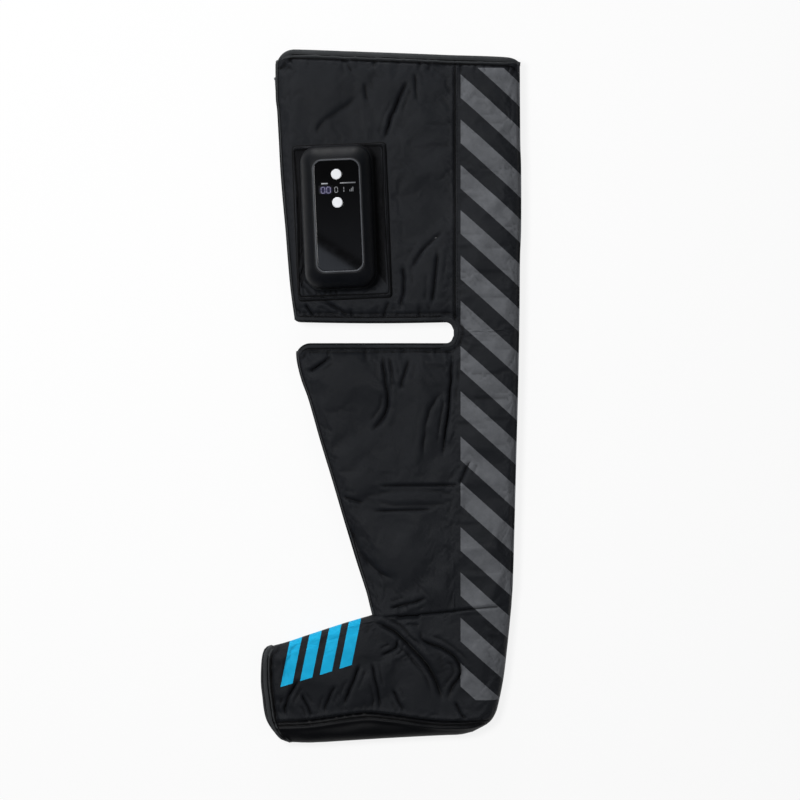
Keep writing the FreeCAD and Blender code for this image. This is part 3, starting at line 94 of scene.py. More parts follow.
# creases that the cloth keeps: half width, depth, lift of the lip beside it, line
FOLDS = (
    (3.0, 2.2, 1.5, ((24, 404), (16, 389), (7, 368), (-3, 343), (-8, 320))),
    (5.0, 0.8, 0.5, ((-92, 324), (-90, 344), (-62, 366), (-36, 385))),
    (3.0, 0.8, 0.4, ((-33, 400), (-29, 375))),
    (3.0, 0.8, 0.4, ((31, 413), (34, 375))),
    (3.5, 1.6, 1.2, ((15, 172), (18, 143), (12, 108))),
    (4.0, 1.3, 0.8, ((69, 213), (40, 184), (26, 159))),
    (3.5, 1.5, 0.8, ((61, 191), (57, 149), (52, 113))),
    (3.0, 1.4, 1.0, ((-113, 120), (-96, 127), (-80, 120), (-49, 102))),
    (2.6, 1.8, 0.8, ((-109, 119), (-103, 111), (-97, 102))),
    (2.4, 1.0, 0.4, ((-50, 112), (-48, 102))),
    (3.0, 1.2, 0.6, ((-1, 124), (-10, 98))),
    (2.5, 0.8, 0.4, ((-58, 430), (-49, 411))),
    (3.0, 2.4, 1.6, ((-11, 60), (-6, 22), (-4, -17), (-26, -45))),
    (2.5, 1.0, 0.6, ((-1, 57), (2, 22), (1, -10))),
    (2.6, 1.8, 1.2, ((-105, 31), (-90, 41), (-75, 52))),
    (3.0, 1.2, 0.8, ((25, 50), (18, 28), (12, 6))),
    (2.5, 2.2, 0.9, ((79, 62), (77, 15), (74, -20), (66, -80))),
    (4.0, 0.9, 0.5, ((69, 11), (48, -23), (41, -80))),
    (3.0, 1.4, 0.8, ((104, -78), (96, -93), (87, -113))),
    (1.6, 1.8, 0.5, ((-17, -113), (38, -112), (91, -112))),
    (1.6, 1.2, 0.4, ((-25, -145), (12, -144), (58, -143))),
    (3.0, 1.0, 0.6, ((-61, -127), (-33, -135))),
    (6.0, 1.2, 0.8, ((-54, -153), (-39, -195), (-13, -223), (12, -233))),
    (2.8, 1.8, 1.2, ((-3, -268), (18, -264), (48, -255))),
    (1.6, 1.4, 0.5, ((-21, -280), (12, -278), (63, -274), (114, -268), (156, -265))),
    (3.6, 3.4, 1.0, ((6, -279), (22, -278.6), (40, -277.6))),
    (3.2, 3.6, 2.6, ((-25, -286), (-7, -292), (15, -306), (44, -338), (59, -363), (66, -389))),
    (3.0, 2.6, 1.8, ((38, -295), (43, -310), (76, -325), (90, -348), (78, -370), (73, -389))),
    (2.2, 2.0, 1.0, ((-115, -357), (-127, -376), (-133, -393), (-133, -407))),
    (2.0, 1.6, 0.8, ((-114, -376), (-106, -391), (-99, -407))),
    (2.2, 1.6, 0.8, ((-69, -365), (-80, -386), (-84, -402))),
    (2.6, 1.8, 0.9, ((-38, -338), (-49, -367), (-61, -394))),
    (2.4, 1.4, 0.7, ((-24, -335), (-17, -367), (-12, -400))),
    (2.2, 1.2, 0.6, ((2, -371), (10, -386), (17, -400))),
    (2.4, 1.4, 0.8, ((-12, -329), (6, -319), (8, -307))),
    (2.2, 1.2, 0.6, ((82, -386), (89, -402), (98, -409))),
    (1.6, 2.0, 1.4, SOLE_SEAM),
)
# how much deeper a crease is cut than its listed depth, and the half width under which it is a sewn line
FOLD_DEPTH = 3.8
SEWN_WIDTH = 2.0

# soft mounds between sewn lines, as in the CAD: middle, half width, half length, turn
MOUNDS = (
    (-48.0, 19.9, 35.9, 39.9, 0), (36.0, -25.1, 31.7, 71.6, 0), (30.0, -128.1, 48.6, 11.9, 0),
    (14.2, -200.0, 38.2, 46.0, 0), (-60.0, -362.0, 69.9, 34.1, 0), (104.0, -335.1, 21.9, 45.6, 0),
    (44.0, -322.0, 14.2, 35.9, 35),
)
MOUND_RISE = 2.2

# control unit and its pocket, as in the CAD
PUMP_AT = np.array([-65.7, 227.3])
PUMP_TILT = math.radians(2.4)
PUMP_BASE = 31.8
PUMP_TOP = PUMP_BASE + 42.0
PATCH_SIZE = (117.6, 195.0)
PATCH_SHIFT = np.array([4.0, -5.0])
# half size of the flat place under the pocket, the width of its fade and its level
SEAT_HALF = np.array([56.0, 95.0])
SEAT_FADE = 14.0
SEAT_LEVEL = 31.3

# small geometry helpers


def smooth(points, per_span=16):
    """Dense smooth line through the given points."""
    pts = np.array(points, float)
    ext = np.vstack([2 * pts[0] - pts[1], pts, 2 * pts[-1] - pts[-2]])
    t = np.linspace(0, 1, per_span, endpoint=False)[:, None]
    out = []
    for a, b, c, d in zip(ext, ext[1:], ext[2:], ext[3:]):
        out.append(0.5 * (2 * b + (c - a) * t + (2 * a - 5 * b + 4 * c - d) * t ** 2
                          + (3 * b - a - 3 * c + d) * t ** 3))
    return np.vstack(out + [pts[-1:]])


def run_of(line):
    """Length run along a line at each of its points."""
    return np.concatenate([[0], np.cumsum(np.linalg.norm(np.diff(line, axis=0), axis=1))])


def read_off(line, run, spots):
    """Points of a line at given values of its run."""
    return np.stack([np.interp(spots, run, line[:, k]) for k in range(line.shape[1])], axis=-1)


def along(points, shares):
    """Points at shares of the length of the smooth line."""
    dense = smooth(points)
    run = run_of(dense)
    return read_off(dense, run / run[-1], shares)


def edge_x(table, y):
    """X of an edge listed by falling Y."""
    dense = smooth(table)[::-1]
    return np.interp(y, dense[:, 0], dense[:, 1])


def ease(t):
    t = np.clip(t, 0, 1)
    return t * t * (3 - 2 * t)


def hump(t):
    """Bell curve, one in the middle."""
    return np.exp(-t ** 2)


def nearest(points, line):
    """Distance to a line, share of the line reached, signed side, and unit way out from it."""
    best = np.full(len(points), np.inf)
    share = np.zeros(len(points))
    side = np.zeros(len(points))
    way = np.zeros((len(points), 2))
    seg = np.diff(line, axis=0)
    run = run_of(line)
    for i, (a, d) in enumerate(zip(line, seg)):
        size = max(np.dot(d, d), 1e-9)
        t = np.clip((points - a) @ d / size, 0, 1)
        gap = points - (a + t[:, None] * d)
        dist = np.hypot(gap[:, 0], gap[:, 1])
        closer = dist < best
        best[closer] = dist[closer]
        share[closer] = ((run[i] + t * math.sqrt(size)) / run[-1])[closer]
        side[closer] = np.sign(d[0] * gap[:, 1] - d[1] * gap[:, 0])[closer]
        way[closer] = (gap / np.maximum(dist, 1e-6)[:, None])[closer]
    return best, share, side, way


def ripple(points, size, seed):
    """Smooth noise, about -1 to 1."""
    return np.array([noise.noise(Vector((x / size, y / size, seed))) for x, y in points])


def spin(points, angle):
    """Plan points turned round the origin."""
    c, s = math.cos(angle), math.sin(angle)
    return points @ np.array([[c, s], [-s, c]])


def pump_local(points):
    return spin(points - PUMP_AT, -PUMP_TILT)


def pump_world(local):
    out = np.array(local, float)
    out[:, :2] = spin(out[:, :2], PUMP_TILT) + PUMP_AT
    return out


def new_object(name, verts, faces, body="boot"):
    """Mesh object from millimetre points, with only the points its faces use."""
    verts = np.asarray(verts, float)
    used = np.unique(np.concatenate([np.asarray(f) for f in faces]))
    fresh = np.full(len(verts), -1)
    fresh[used] = np.arange(len(used))
    mesh = bpy.data.meshes.new(name)
    mesh.from_pydata((verts[used] * MM).tolist(), [], [[int(fresh[i]) for i in f] for f in faces])
    mesh.polygons.foreach_set("use_smooth", [True] * len(mesh.polygons))
    mesh.update()
    item = bpy.data.objects.new(name, mesh)
    bpy.context.scene.collection.objects.link(item)
    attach(item, body)
    return item


def ring_faces(count, size, closed=False):
    """Quads between closed rings of points, and from the last ring to the first if closed."""
    faces = []
    for i in range(count if closed else count - 1):
        j = (i + 1) % count
        for k in range(size):
            m = (k + 1) % size
            faces.append((i * size + k, i * size + m, j * size + m, j * size + k))
    return faces


def end_faces(count, size):
    """Faces that close the first and the last ring."""
    return [tuple(range(size))[::-1], tuple((count - 1) * size + k for k in range(size))]


class Shape:
    """Collects points and faces of one piece."""

    def __init__(self):
        self.verts = []
        self.faces = []

    def add(self, verts, faces):
        base = len(self.verts)
        self.verts.extend(np.asarray(verts, float).tolist())
        self.faces.extend([[base + i for i in f] for f in faces])

    def sweep(self, path, inward, profile, closed=False, scale=None):
        """Run a profile of (inward, up) points along a path, each times its scale."""
        count, size = len(path), len(profile)
        if closed:
            run = np.roll(path, -1, axis=0) - np.roll(path, 1, axis=0)
        else:
            run = np.gradient(path, axis=0)
        run /= np.linalg.norm(run, axis=1)[:, None]
        inward = inward - run * np.sum(inward * run, axis=1)[:, None]
        inward /= np.linalg.norm(inward, axis=1)[:, None]
        up = np.cross(run, inward)
        verts = []
        for p, a, b, k in zip(path, inward, up, np.ones(count) if scale is None else scale):
            verts.extend(p + k * (a * s + b * t) for s, t in profile)
        self.add(verts, ring_faces(count, size, closed) + ([] if closed else end_faces(count, size)))

    def build(self, name):
        return new_object(name, self.verts, self.faces)


def oval(half_wide, half_high, count, shift=0.0):
    return [(shift + half_wide * math.cos(a), half_high * math.sin(a))
            for a in np.linspace(0, 2 * math.pi, count, endpoint=False)]


def band_profile(outside, inside, half_high):
    """Folded binding tape: a flat loop with round ends."""
    turns = np.radians(np.linspace(90, 270, 7))
    outer = [(half_high * (1 + math.cos(a)) - outside, half_high * math.sin(a)) for a in turns]
    return outer + [(inside - outside - s, -t) for s, t in outer]


# bound hem, as (inward, up): a thick roll at the edge, a dip, the low ridge of the turned-in tape
# and the underside
ROLLED = ((-1.5, 0.1), (-1.3, 1.0), (-0.5, 1.8), (1.0, 2.2), (2.6, 2.1), (4.0, 1.3), (5.0, 0.2), (5.9, 0.4),
          (7.0, 1.7), (7.8, 1.6), (8.4, 0.7), (8.6, -0.2), (8.2, -0.9), (4.0, -1.0), (0.0, -1.0),
          (-1.2, -0.7))

# grids of the two layers


def corner(gap, radius):
    """Drop of a hem towards a rounded corner."""
    t = np.clip(1 - gap / radius, 0, 0.9)
    return radius * (1 - np.sqrt(1 - t * t))


def notch(x, steepest=0.98):
    """Bend of a hem into the rounded end of the knee slot."""
    t = np.clip((x - SEAM_X + SLOT_ROUND) / SLOT_ROUND, 0, steepest)
    return SLOT_ROUND * (1 - np.sqrt(1 - t ** 2)) / (1 - math.sqrt(1 - steepest ** 2))


class Plan:
    """Grid of one layer: columns run from the front edge to the back fold, rows from cuff to sole."""

    def __init__(self, front_cols, back_cols, thigh_rows, slot_rows, calf_rows, instep_rows, toe_rows,
                 inset=0.0, cuff_drop=0.0, toe_drop=0.0, front_in=0.0):
        self.seam = front_cols
        self.cols = front_cols + back_cols
        self.hem_row = thigh_rows
        self.head_row = thigh_rows + slot_rows + 1
        self.ankle_row = self.head_row + calf_rows
        self.toe_row = self.ankle_row + instep_rows
        self.last_row = self.toe_row + toe_rows

        # columns stand closer at the front edge and at the back fold
        a = np.linspace(0, 1, front_cols + 1)
        a = a - 0.36 * np.sin(2 * math.pi * a) / (2 * math.pi) * (1 - a)
        b = np.linspace(0, 1, back_cols + 1)
        b = 0.55 * np.sin(b * math.pi / 2) + 0.45 * b
        front = np.arange(self.cols + 1) <= front_cols
        share = np.where(front, np.concatenate([a, np.ones(back_cols)]), 0)
        back_share = np.concatenate([np.zeros(front_cols), b])

        def row_points(table, y):
            left = edge_x(table, y) + inset + front_in * (1 - back_share)
            right = edge_x(BACK, y) - inset
            x = np.where(front, left + (SEAM_X - left) * share, SEAM_X + (right - SEAM_X) * back_share)
            return np.stack([x, y], axis=1)

        def level_x(table, level):
            return row_points(table, np.full(self.cols + 1, level))[:, 0]

        cuff_x = level_x(FRONT_THIGH, CUFF_LEVEL)
        cuff = CUFF_Y - CUFF_SLOPE * (cuff_x - CUFF_FRONT_X) - cuff_drop * (1 - back_share ** 4)
        cuff -= corner(cuff_x - cuff_x[0], CUFF_ROUND)
        cuff -= CUFF_BACK_SHARE * corner(cuff_x[-1] - cuff_x, CUFF_BACK_ROUND)
        hem_x = level_x(FRONT_THIGH, HEM_Y)
        hem = HEM_Y + corner(hem_x - hem_x[0], HEM_ROUND) - notch(hem_x) - HEM_SAG * np.sin(math.pi * share)
        head_x = level_x(FRONT_CALF, CALF_TOP_Y)
        head = CALF_TOP_Y - corner(head_x - head_x[0], CALF_TOP_ROUND) + notch(head_x)
        ankle_x = level_x(FRONT_CALF, ANKLE_FRONT_Y)
        ankle_share = (ankle_x - ankle_x[0]) / (ankle_x[-1] - ankle_x[0])
        ankle = ANKLE_FRONT_Y + (ANKLE_BACK_Y - ANKLE_FRONT_Y) * ankle_share
        rows = []
        for table, upper, lower, shares in ((FRONT_THIGH, cuff, hem, np.linspace(0, 1, thigh_rows + 1)),
                                            (FRONT_THIGH, hem, head, np.linspace(0, 1, slot_rows + 2)[1:-1]),
                                            (FRONT_CALF, head, ankle, np.linspace(0, 1, calf_rows + 1))):
            rows += [row_points(table, upper + (lower - upper) * t) for t in shares]

        # the foot fills the space between ankle, instep and toe, sole and heel
        instep_share = np.linspace(0, 1, instep_rows + 1)
        toe_share = 1 - (1 - np.linspace(0, 1, toe_rows + 1)[1:]) ** 1.25
        down = np.concatenate([0.5 * instep_share, 0.5 + 0.5 * toe_share])
        top = rows[-1]
        left = np.vstack([along(INSTEP, instep_share) + INSTEP_IN * inset, along(TOE, toe_share)])
        left[instep_rows + 1:, 1] += 0.6 * inset * down[instep_rows + 1:]
        left[instep_rows:, 0] += toe_drop * np.sin(math.pi * np.linspace(0, 1, toe_rows + 1)) ** 0.5
        right = along(HEEL, down) + np.array([-1.0, 0.3]) * inset * (0.4 + 0.6 * down[:, None])
        bottom = along(SOLE, ankle_share) + SOLE_IN * inset
        left[0], right[0] = top[0], top[-1]
        bottom[0], bottom[-1] = left[-1], right[-1]
        w = ankle_share[:, None]
        for t, at_front, at_back in zip(down[1:], left[1:], right[1:]):
            rows.append((1 - t) * top + t * bottom + (1 - w) * at_front + w * at_back
                        - (1 - w) * (1 - t) * top[0] - w * (1 - t) * top[-1]
                        - (1 - w) * t * left[-1] - w * t * right[-1])
        self.xy = np.array(rows)

    def faces(self):
        """Index quads of the grid, cell by cell."""
        quads = []
        width = self.cols + 1
        for r in range(self.last_row):
            first = self.seam if self.hem_row <= r < self.head_row else 0
            for c in range(first, self.cols):
                at = r * width + c
                quads.append((at, at + width, at + width + 1, at + 1))
        return quads

    def open_edges(self):
        """Cuff, thigh hem, calf top, end of the slot, and toe."""
        xy = self.xy
        return [xy[0], xy[self.hem_row, :self.seam + 1], xy[self.head_row, :self.seam + 1],
                xy[self.hem_row:self.head_row + 1, self.seam], xy[self.toe_row:, 0]]

    def sewn(self):
        """True for each grid point on an edge of the layer."""
        fixed = np.zeros((self.last_row + 1, self.cols + 1), bool)
        fixed[[0, -1]] = True
        fixed[:, [0, -1]] = True
        fixed[[self.hem_row, self.head_row], :self.seam + 1] = True
        fixed[self.hem_row:self.head_row + 1, self.seam] = True
        return fixed.ravel()

    def with_height(self, height):
        return np.dstack([self.xy, height.reshape(self.xy.shape[:2])])


def edge_gap(points, inset=0.0):
    """Distance from the edges where the near and far layers fold into each other."""
    shift = np.array([inset, 0.0])
    lines = [smooth(table, 2)[:, ::-1] + shift for table in (FRONT_THIGH, FRONT_CALF)]
    lines += [smooth(BACK, 2)[:, ::-1] - shift, smooth(INSTEP, 2) + INSTEP_IN * inset,
              smooth(SOLE, 3) + SOLE_IN * inset, smooth(HEEL, 4) - shift]
    return np.min([nearest(points, line)[0] for line in lines], axis=0)


def rise_of(points, inset=0.0, margin=0.01):
    """Share of the full height over a round fold at the edges."""
    t = 1 - np.clip((edge_gap(points, inset) + margin) / EDGE_ROUND, 0, 1)
    return np.sqrt(1 - t * t)


def open_gap_of(plan):
    """Distance of each grid point from the open edges."""
    flat = plan.xy.reshape(-1, 2)
    return np.min([nearest(flat, line)[0] for line in plan.open_edges()], axis=0)


def sole_side(points):
    """Distance from the sole seam, and whether a point is on the sole."""
    gap, _, side, _ = nearest(points, smooth(SOLE_SEAM))
    return gap, (side < 0) & (points[:, 1] < SOLE_REACH_Y)


def under_pocket(points):
    """One under the pocket and the control unit, falling to nothing around them."""
    gap = np.abs(pump_local(points) - PATCH_SHIFT) - SEAT_HALF
    return 1 - ease(gap.max(axis=1) / SEAT_FADE)


def crown(points):
    """Rise of the solid's near side: side panel and back panel each bow up, then the mounds."""
    x, y = points[:, 0], points[:, 1]
    on_calf = np.clip((y - ANKLE_BACK_Y) / (CALF_TOP_Y - ANKLE_BACK_Y), 0, 1)
    knee = ease((y - CALF_TOP_Y) / (HEM_Y - CALF_TOP_Y))
    side_bow = np.where(y < CALF_TOP_Y, 0.5 + 3.5 * on_calf, 4.0 - 2.5 * knee)
    back_bow = 0.5 + 1.5 * on_calf
    front = np.where(y > HEM_Y, edge_x(FRONT_THIGH, y), edge_x(FRONT_CALF, y)) + MID
    back = edge_x(BACK, y) - MID
    side = np.clip((x - front) / (SEAM_X - front), 0, 1)
    rear = np.clip((x - SEAM_X) / (back - SEAM_X), 0, 1)
    rise = np.where(x < SEAM_X, side_bow * 4 * side * (1 - side), back_bow * 4 * rear * (1 - rear))
    rise *= ease((y - ANKLE_FRONT_Y) / 12)
    for at_x, at_y, half_wide, half_long, turn in MOUNDS:
        local = spin(points - np.array([at_x, at_y]), -math.radians(turn)) / np.array([half_wide, half_long])
        rise = rise + MOUND_RISE * np.clip(1 - np.sum(local ** 2, axis=1), 0, None) ** 1.6
    return rise


def undulation(points):
    """Slow lumps of the near layer."""
    high = 0.7 * ripple(points, 70, 3.1) + 0.3 * ripple(points, 32, 8.4)
    return high * (1 - under_pocket(points))


def fold_family():
    """Each listed crease as an uneven line, and two fainter, shorter ones beside it; sewn lines alone."""
    for k, (width, depth, lift, line) in enumerate(FOLDS):
        line = smooth(line, 8)
        if width < SEWN_WIDTH:
            yield width, depth, lift, line
            continue
        run = np.gradient(line, axis=0)
        across = np.stack([-run[:, 1], run[:, 0]], axis=1) / np.linalg.norm(run, axis=1)[:, None]
        line = line + across * (1.3 * ripple(line, 13, 50.0 + k))[:, None]
        yield width, depth, lift, line
        for side, first, last in ((1, 0.1, 0.6), (-1, 0.4, 0.95)):
            cut = slice(int(first * len(line)), int(last * len(line)))
            wander = side * (2.3 * width + 2.5) + 2.5 * ripple(line[cut], 20, 90.0 + k)
            yield 0.75 * width, 0.2 * depth, 0.3 * lift, line[cut] + across[cut] * wander[:, None]


def creases(points):
    """Shift of near-layer points by the creases: a sharp valley with a lip that leans over it."""
    move = np.zeros((len(points), 3))
    for width, depth, lift, line in fold_family():
        reach = 6 * width
        low, high = line.min(axis=0) - reach, line.max(axis=0) + reach
        ids = np.flatnonzero(np.all((points > low) & (points < high), axis=1))
        spots = points[ids]
        gap, share, side, way = nearest(spots, line)
        fade = ease(np.minimum(share, 1 - share) * 4) * (1 - under_pocket(spots))
        if width > 1.8:
            fade *= 0.85 + 0.35 * ripple(spots, 17, 64.0)
        near_line = gap / width
        valley = FOLD_DEPTH * depth * np.exp(-(near_line / 0.95) ** 1.6)
        lip = 0.5 * lift * hump((near_line - 2.4) / 1.6) * np.where(side > 0, 1.0, 0.3)
        move[ids, 2] += fade * (lip - valley)
        lean = fade * hump(near_line - 1.3) * np.where(side > 0, 0.8, 0.4) * width * min(1.0, depth / 1.6)
        move[ids, :2] -= way * lean[:, None]
    return move


def puckers(points, open_gap, edge_run):
    """Small gathers along the sewn edges, and the seam beside the back panel on the thigh."""
    high = 0.6 * hump((open_gap - 11) / 7) * ripple(np.stack([edge_run, open_gap * 0.35], axis=1), 6.5, 31.0)
    ticks = np.clip(ripple(np.stack([edge_run, open_gap * 0.2], axis=1), 8, 77.0) - 0.15, 0, 1)
    high -= 5.0 * ticks * hump((open_gap - 13) / 7) + 2.2 * hump((open_gap - 9.8) / 1.7)
    seam = np.abs(points[:, 0] - SEAM_X)
    beside_seam = 0.4 * hump((seam - 4) / 2) - 1.5 * hump(seam / 1.3)
    beside_seam += 0.6 * hump((seam - 7) / 5) * ripple(points * np.array([0.3, 1.0]), 7, 17.0)
    high += np.where(points[:, 1] > HEM_Y, beside_seam, 0.0)
    high += 0.12 * ripple(points, 15, 5.7) + 0.08 * ripple(points, 8, 15.7)
    return high * (1 - under_pocket(points))


def near_height(plan):
    flat = plan.xy.reshape(-1, 2)
    rise = rise_of(flat)
    top = NEAR_TOP + (crown(flat) + undulation(flat)) * ease((rise - 0.25) / 0.7)
    height = MID + (top - MID) * rise
    height -= 4.0 * (1 - ease(open_gap_of(plan) / 24)) * rise
    beneath = under_pocket(flat)
    return height * (1 - beneath) + np.minimum(height, SEAT_LEVEL) * beneath


def far_height(plan):
    flat = plan.xy.reshape(-1, 2)
    lump = 1.6 * np.clip(ripple(flat, 55, 21.3) + 0.5 * ripple(flat, 22, 2.2), 0, 1)
    lift = 2.5 * (1 - ease(open_gap_of(plan) / 26))
    return MID - (MID - FAR_LOW - lump - lift) * rise_of(flat)


GRID = dict(front_cols=64, back_cols=34, thigh_rows=100, slot_rows=6, calf_rows=100, instep_rows=30,
            toe_rows=36)
near_plan = Plan(toe_drop=5.2, front_in=1.4, **GRID)
far_plan = Plan(cuff_drop=1.0, front_in=0.6, **GRID)
near = near_plan.with_height(near_height(near_plan))
far = far_plan.with_height(far_height(far_plan))

# front edges are bound flaps over the zip, clear of the slider between them
FLAP_GAP = 7.5
FLAP_FADE = 30.0
on_leg = np.arange(near_plan.last_row + 1) <= near_plan.ankle_row
flap = FLAP_GAP * ease((near_plan.xy[:, 0, 1] - ANKLE_FRONT_Y) / FLAP_FADE) * on_leg
near[:, :, 2] = np.maximum(near[:, :, 2], (MID + flap)[:, None])
far[:, :, 2] = np.minimum(far[:, :, 2], (MID - flap)[:, None])

# slack nylon, and how far it may move
CLOTH = dict(quality=4, mass=0.2, tension_stiffness=25, compression_stiffness=25, shear_stiffness=8,
             bending_stiffness=0.06, air_damping=3.0, vertex_group_mass="sewn", shrink_min=-0.007,
             shrink_max=-0.007)
CLOTH_FRAMES = 24
CLOTH_CACHE = 40
CLOTH_LIMIT = 4.0
SEAM_HOLD = 0.9


def settle_near(near):
    """Let the near layer buckle like slack nylon between its sewn edges."""
    flat = near.reshape(-1, 3)
    xy = flat[:, :2]
    hold = near_plan.sewn() | (under_pocket(xy) > 0.5) | (rise_of(xy, margin=0.0) < 0.75) | sole_side(xy)[1]
    mesh = bpy.data.meshes.new("slack")
    mesh.from_pydata((flat * MM).tolist(), [], near_plan.faces())
    item = bpy.data.objects.new("slack", mesh)
    scene = bpy.context.scene
    scene.collection.objects.link(item)
    group = item.vertex_groups.new(name="sewn")
    group.add(np.flatnonzero(hold).tolist(), 1.0, "REPLACE")
    seam = [r * (near_plan.cols + 1) + near_plan.seam for r in range(near_plan.ankle_row)]
    group.add(seam, SEAM_HOLD, "REPLACE")
    cloth = item.modifiers.new("cloth", "CLOTH")
    for name, entry in CLOTH.items():
        setattr(cloth.settings, name, entry)
    cloth.settings.effector_weights.gravity = 0.0
    cloth.collision_settings.use_collision = False
    cloth.collision_settings.use_self_collision = False
    cloth.point_cache.frame_start = 1
    cloth.point_cache.frame_end = CLOTH_CACHE
    for step in range(1, CLOTH_FRAMES + 1):
        scene.frame_set(step)
    shaped = item.evaluated_get(bpy.context.evaluated_depsgraph_get())
    move = np.array([v.co for v in shaped.data.vertices]) / MM - flat
    scene.frame_set(1)
    bpy.data.objects.remove(item)
    bpy.data.meshes.remove(mesh)
    move *= np.minimum(1, CLOTH_LIMIT / np.maximum(np.linalg.norm(move, axis=1), 1e-6))[:, None]
    return (flat + move).reshape(near.shape)


near = settle_near(near)


def finer(grid):
    """Grid with a point added between each pair, on a smooth curve through its neighbours."""
    for axis in (0, 1):
        grid = np.moveaxis(grid, axis, 0)
        ends = np.concatenate([2 * grid[:1] - grid[1:2], grid, 2 * grid[-1:] - grid[-2:-1]])
        out = np.empty((2 * len(grid) - 1,) + grid.shape[1:])
        out[0::2] = grid
        out[1::2] = (9 * (ends[1:-2] + ends[2:-1]) - ends[:-3] - ends[3:]) / 16
        grid = np.moveaxis(out, 0, axis)
    return grid


def doubled(plan):
    """The plan's marks on a grid with twice the points."""
    marks = copy(plan)
    for name in ("seam", "cols", "hem_row", "head_row", "ankle_row", "toe_row", "last_row"):
        setattr(marks, name, 2 * getattr(plan, name))
    return marks


# places of the gathers along one open edge are kept apart from those of the next
EDGE_STEP = 700.0


def refine_near(near):
    """Twice the points, split at the slot, then creases and gathers on them."""
    rows = [finer(near[:near_plan.hem_row + 1])]
    for first, last in ((near_plan.hem_row, near_plan.head_row), (near_plan.head_row, near_plan.last_row)):
        rows.append(finer(near[first:last + 1])[1:])
    fine = np.vstack(rows)
    flat = fine.reshape(-1, 3)
    xy = flat[:, :2]
    marks = doubled(near_plan)
    marks.xy = fine[:, :, :2]
    gap = np.full(len(flat), np.inf)
    run = np.zeros(len(flat))
    for i, line in enumerate(marks.open_edges()):
        line = line[::2]
        away, share, _, _ = nearest(xy, line)
        closer = away < gap
        gap[closer] = away[closer]
        run[closer] = (share * run_of(line)[-1] + EDGE_STEP * i)[closer]
    soft = ease((rise_of(xy, margin=0.0) - 0.3) / 0.6)
    beyond, on_sole = sole_side(xy)
    calm = np.where(on_sole, ease(1 - beyond / 3), 1.0) * soft
    move = creases(xy) * calm[:, None]
    move[:, 2] += puckers(xy, gap, run) * calm
    welt = 1.5 * hump((beyond - 8.5) / 2.2) - 1.6 * hump((beyond - 4.2) / 1.6)
    welt += 0.9 * ripple(xy * np.array([0.5, 1.2]), 16, 41.0)
    move[:, 2] += np.where(on_sole, welt * soft, 0.0)
    move[marks.sewn()] = 0
    return clear_hoses(flat + move).reshape(fine.shape), marks


# tops of hoses and ports over this level are looked at; cover points between the two levels may be lifted
HOSE_LEVEL = 25.0
HOSE_COVER = (20.0, 30.2)
HOSE_STEP = 2.0
HOSE_REACH = 9.0


def clear_hoses(flat):
    """Keep the cover over the hoses and ports that run under it."""
    spots = []
    for name in ("air_hoses", "chamber_ports", "outlet_elbows"):
        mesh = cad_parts[name].data
        for edge in mesh.edges:
            a, b = (mesh.vertices[i].co / MM for i in edge.vertices)
            if max(a.z, b.z) > HOSE_LEVEL:
                pieces = max(1, int((b - a).length / HOSE_STEP))
                spots.extend(a.lerp(b, k / pieces) for k in range(pieces + 1))
    tree = plan_tree(spots)
    for i in np.flatnonzero((flat[:, 2] >= HOSE_COVER[0]) & (flat[:, 2] < HOSE_COVER[1])):
        x, y, z = flat[i]
        _, k, gap = tree.find((x, y, 0))
        if gap < HOSE_REACH:
            flat[i, 2] = max(z, spots[k].z + 1.0 - 2.0 * max(0.0, gap - 3.5))
    return flat


def plan_tree(points):
    """Search tree of points by their place in plan."""
    tree = kdtree.KDTree(len(points))
    for i, point in enumerate(points):
        tree.insert((point[0], point[1], 0), i)
    tree.balance()
    return tree


near, fine_plan = refine_near(near)
edge_grid = near[::2, ::2]

# sleeve cover: near and far layers joined along back, heel, sole and instep

near_width = fine_plan.cols + 1
far_width = far_plan.cols + 1
near_count = near.shape[0] * near_width


def on_fold(r, c):
    """True where a far point lies on a fold that it shares with the near layer."""
    on_instep = c == 0 and far_plan.ankle_row < r <= far_plan.toe_row
    return c == far_plan.cols or r == far_plan.last_row or on_instep


def far_face(face):
    """Far-layer face that uses the near layer's points along shared folds."""
    spots = [divmod(i, far_width) for i in face[::-1]]
    out = []
    for (r, c), (nr, nc) in zip(spots, spots[1:] + spots[:1]):
        out.append(2 * r * near_width + 2 * c if on_fold(r, c) else near_count + r * far_width + c)
        along_back = c == nc == far_plan.cols
        along_sole = r == nr == far_plan.last_row
        along_instep = c == nc == 0 and on_fold(r, c) and on_fold(nr, nc)
        if along_back or along_sole or along_instep:
            out.append((r + nr) * near_width + c + nc)
    return tuple(out)


verts = np.vstack([near.reshape(-1, 3), far.reshape(-1, 3)])
faces = fine_plan.faces() + [far_face(f) for f in far_plan.faces()]
middle = np.array([verts[f[0]] * 0.5 + verts[f[2]] * 0.5 for f in faces])
is_sole = sole_side(middle[:, :2])[1]
sleeve = new_object("sleeve_cover", verts, [f for f, s in zip(faces, is_sole) if not s])
sole = new_object("sole_cover", verts, [f for f, s in zip(faces, is_sole) if s])
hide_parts("thigh_panel_near", "thigh_panel_far", "calf_panel_near", "calf_panel_far",
            "back_panel", "foot_upper")
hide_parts("sole_panel")

# lining, with the air chambers behind it

COARSE = dict(front_cols=30, back_cols=16, thigh_rows=50, slot_rows=3, calf_rows=50, instep_rows=16,
              toe_rows=18)
LINING_INSET = 5.0
ZIP_ROOM = 7.0
LINING_WALL = 4.5
LINING_LEAST = 2.2


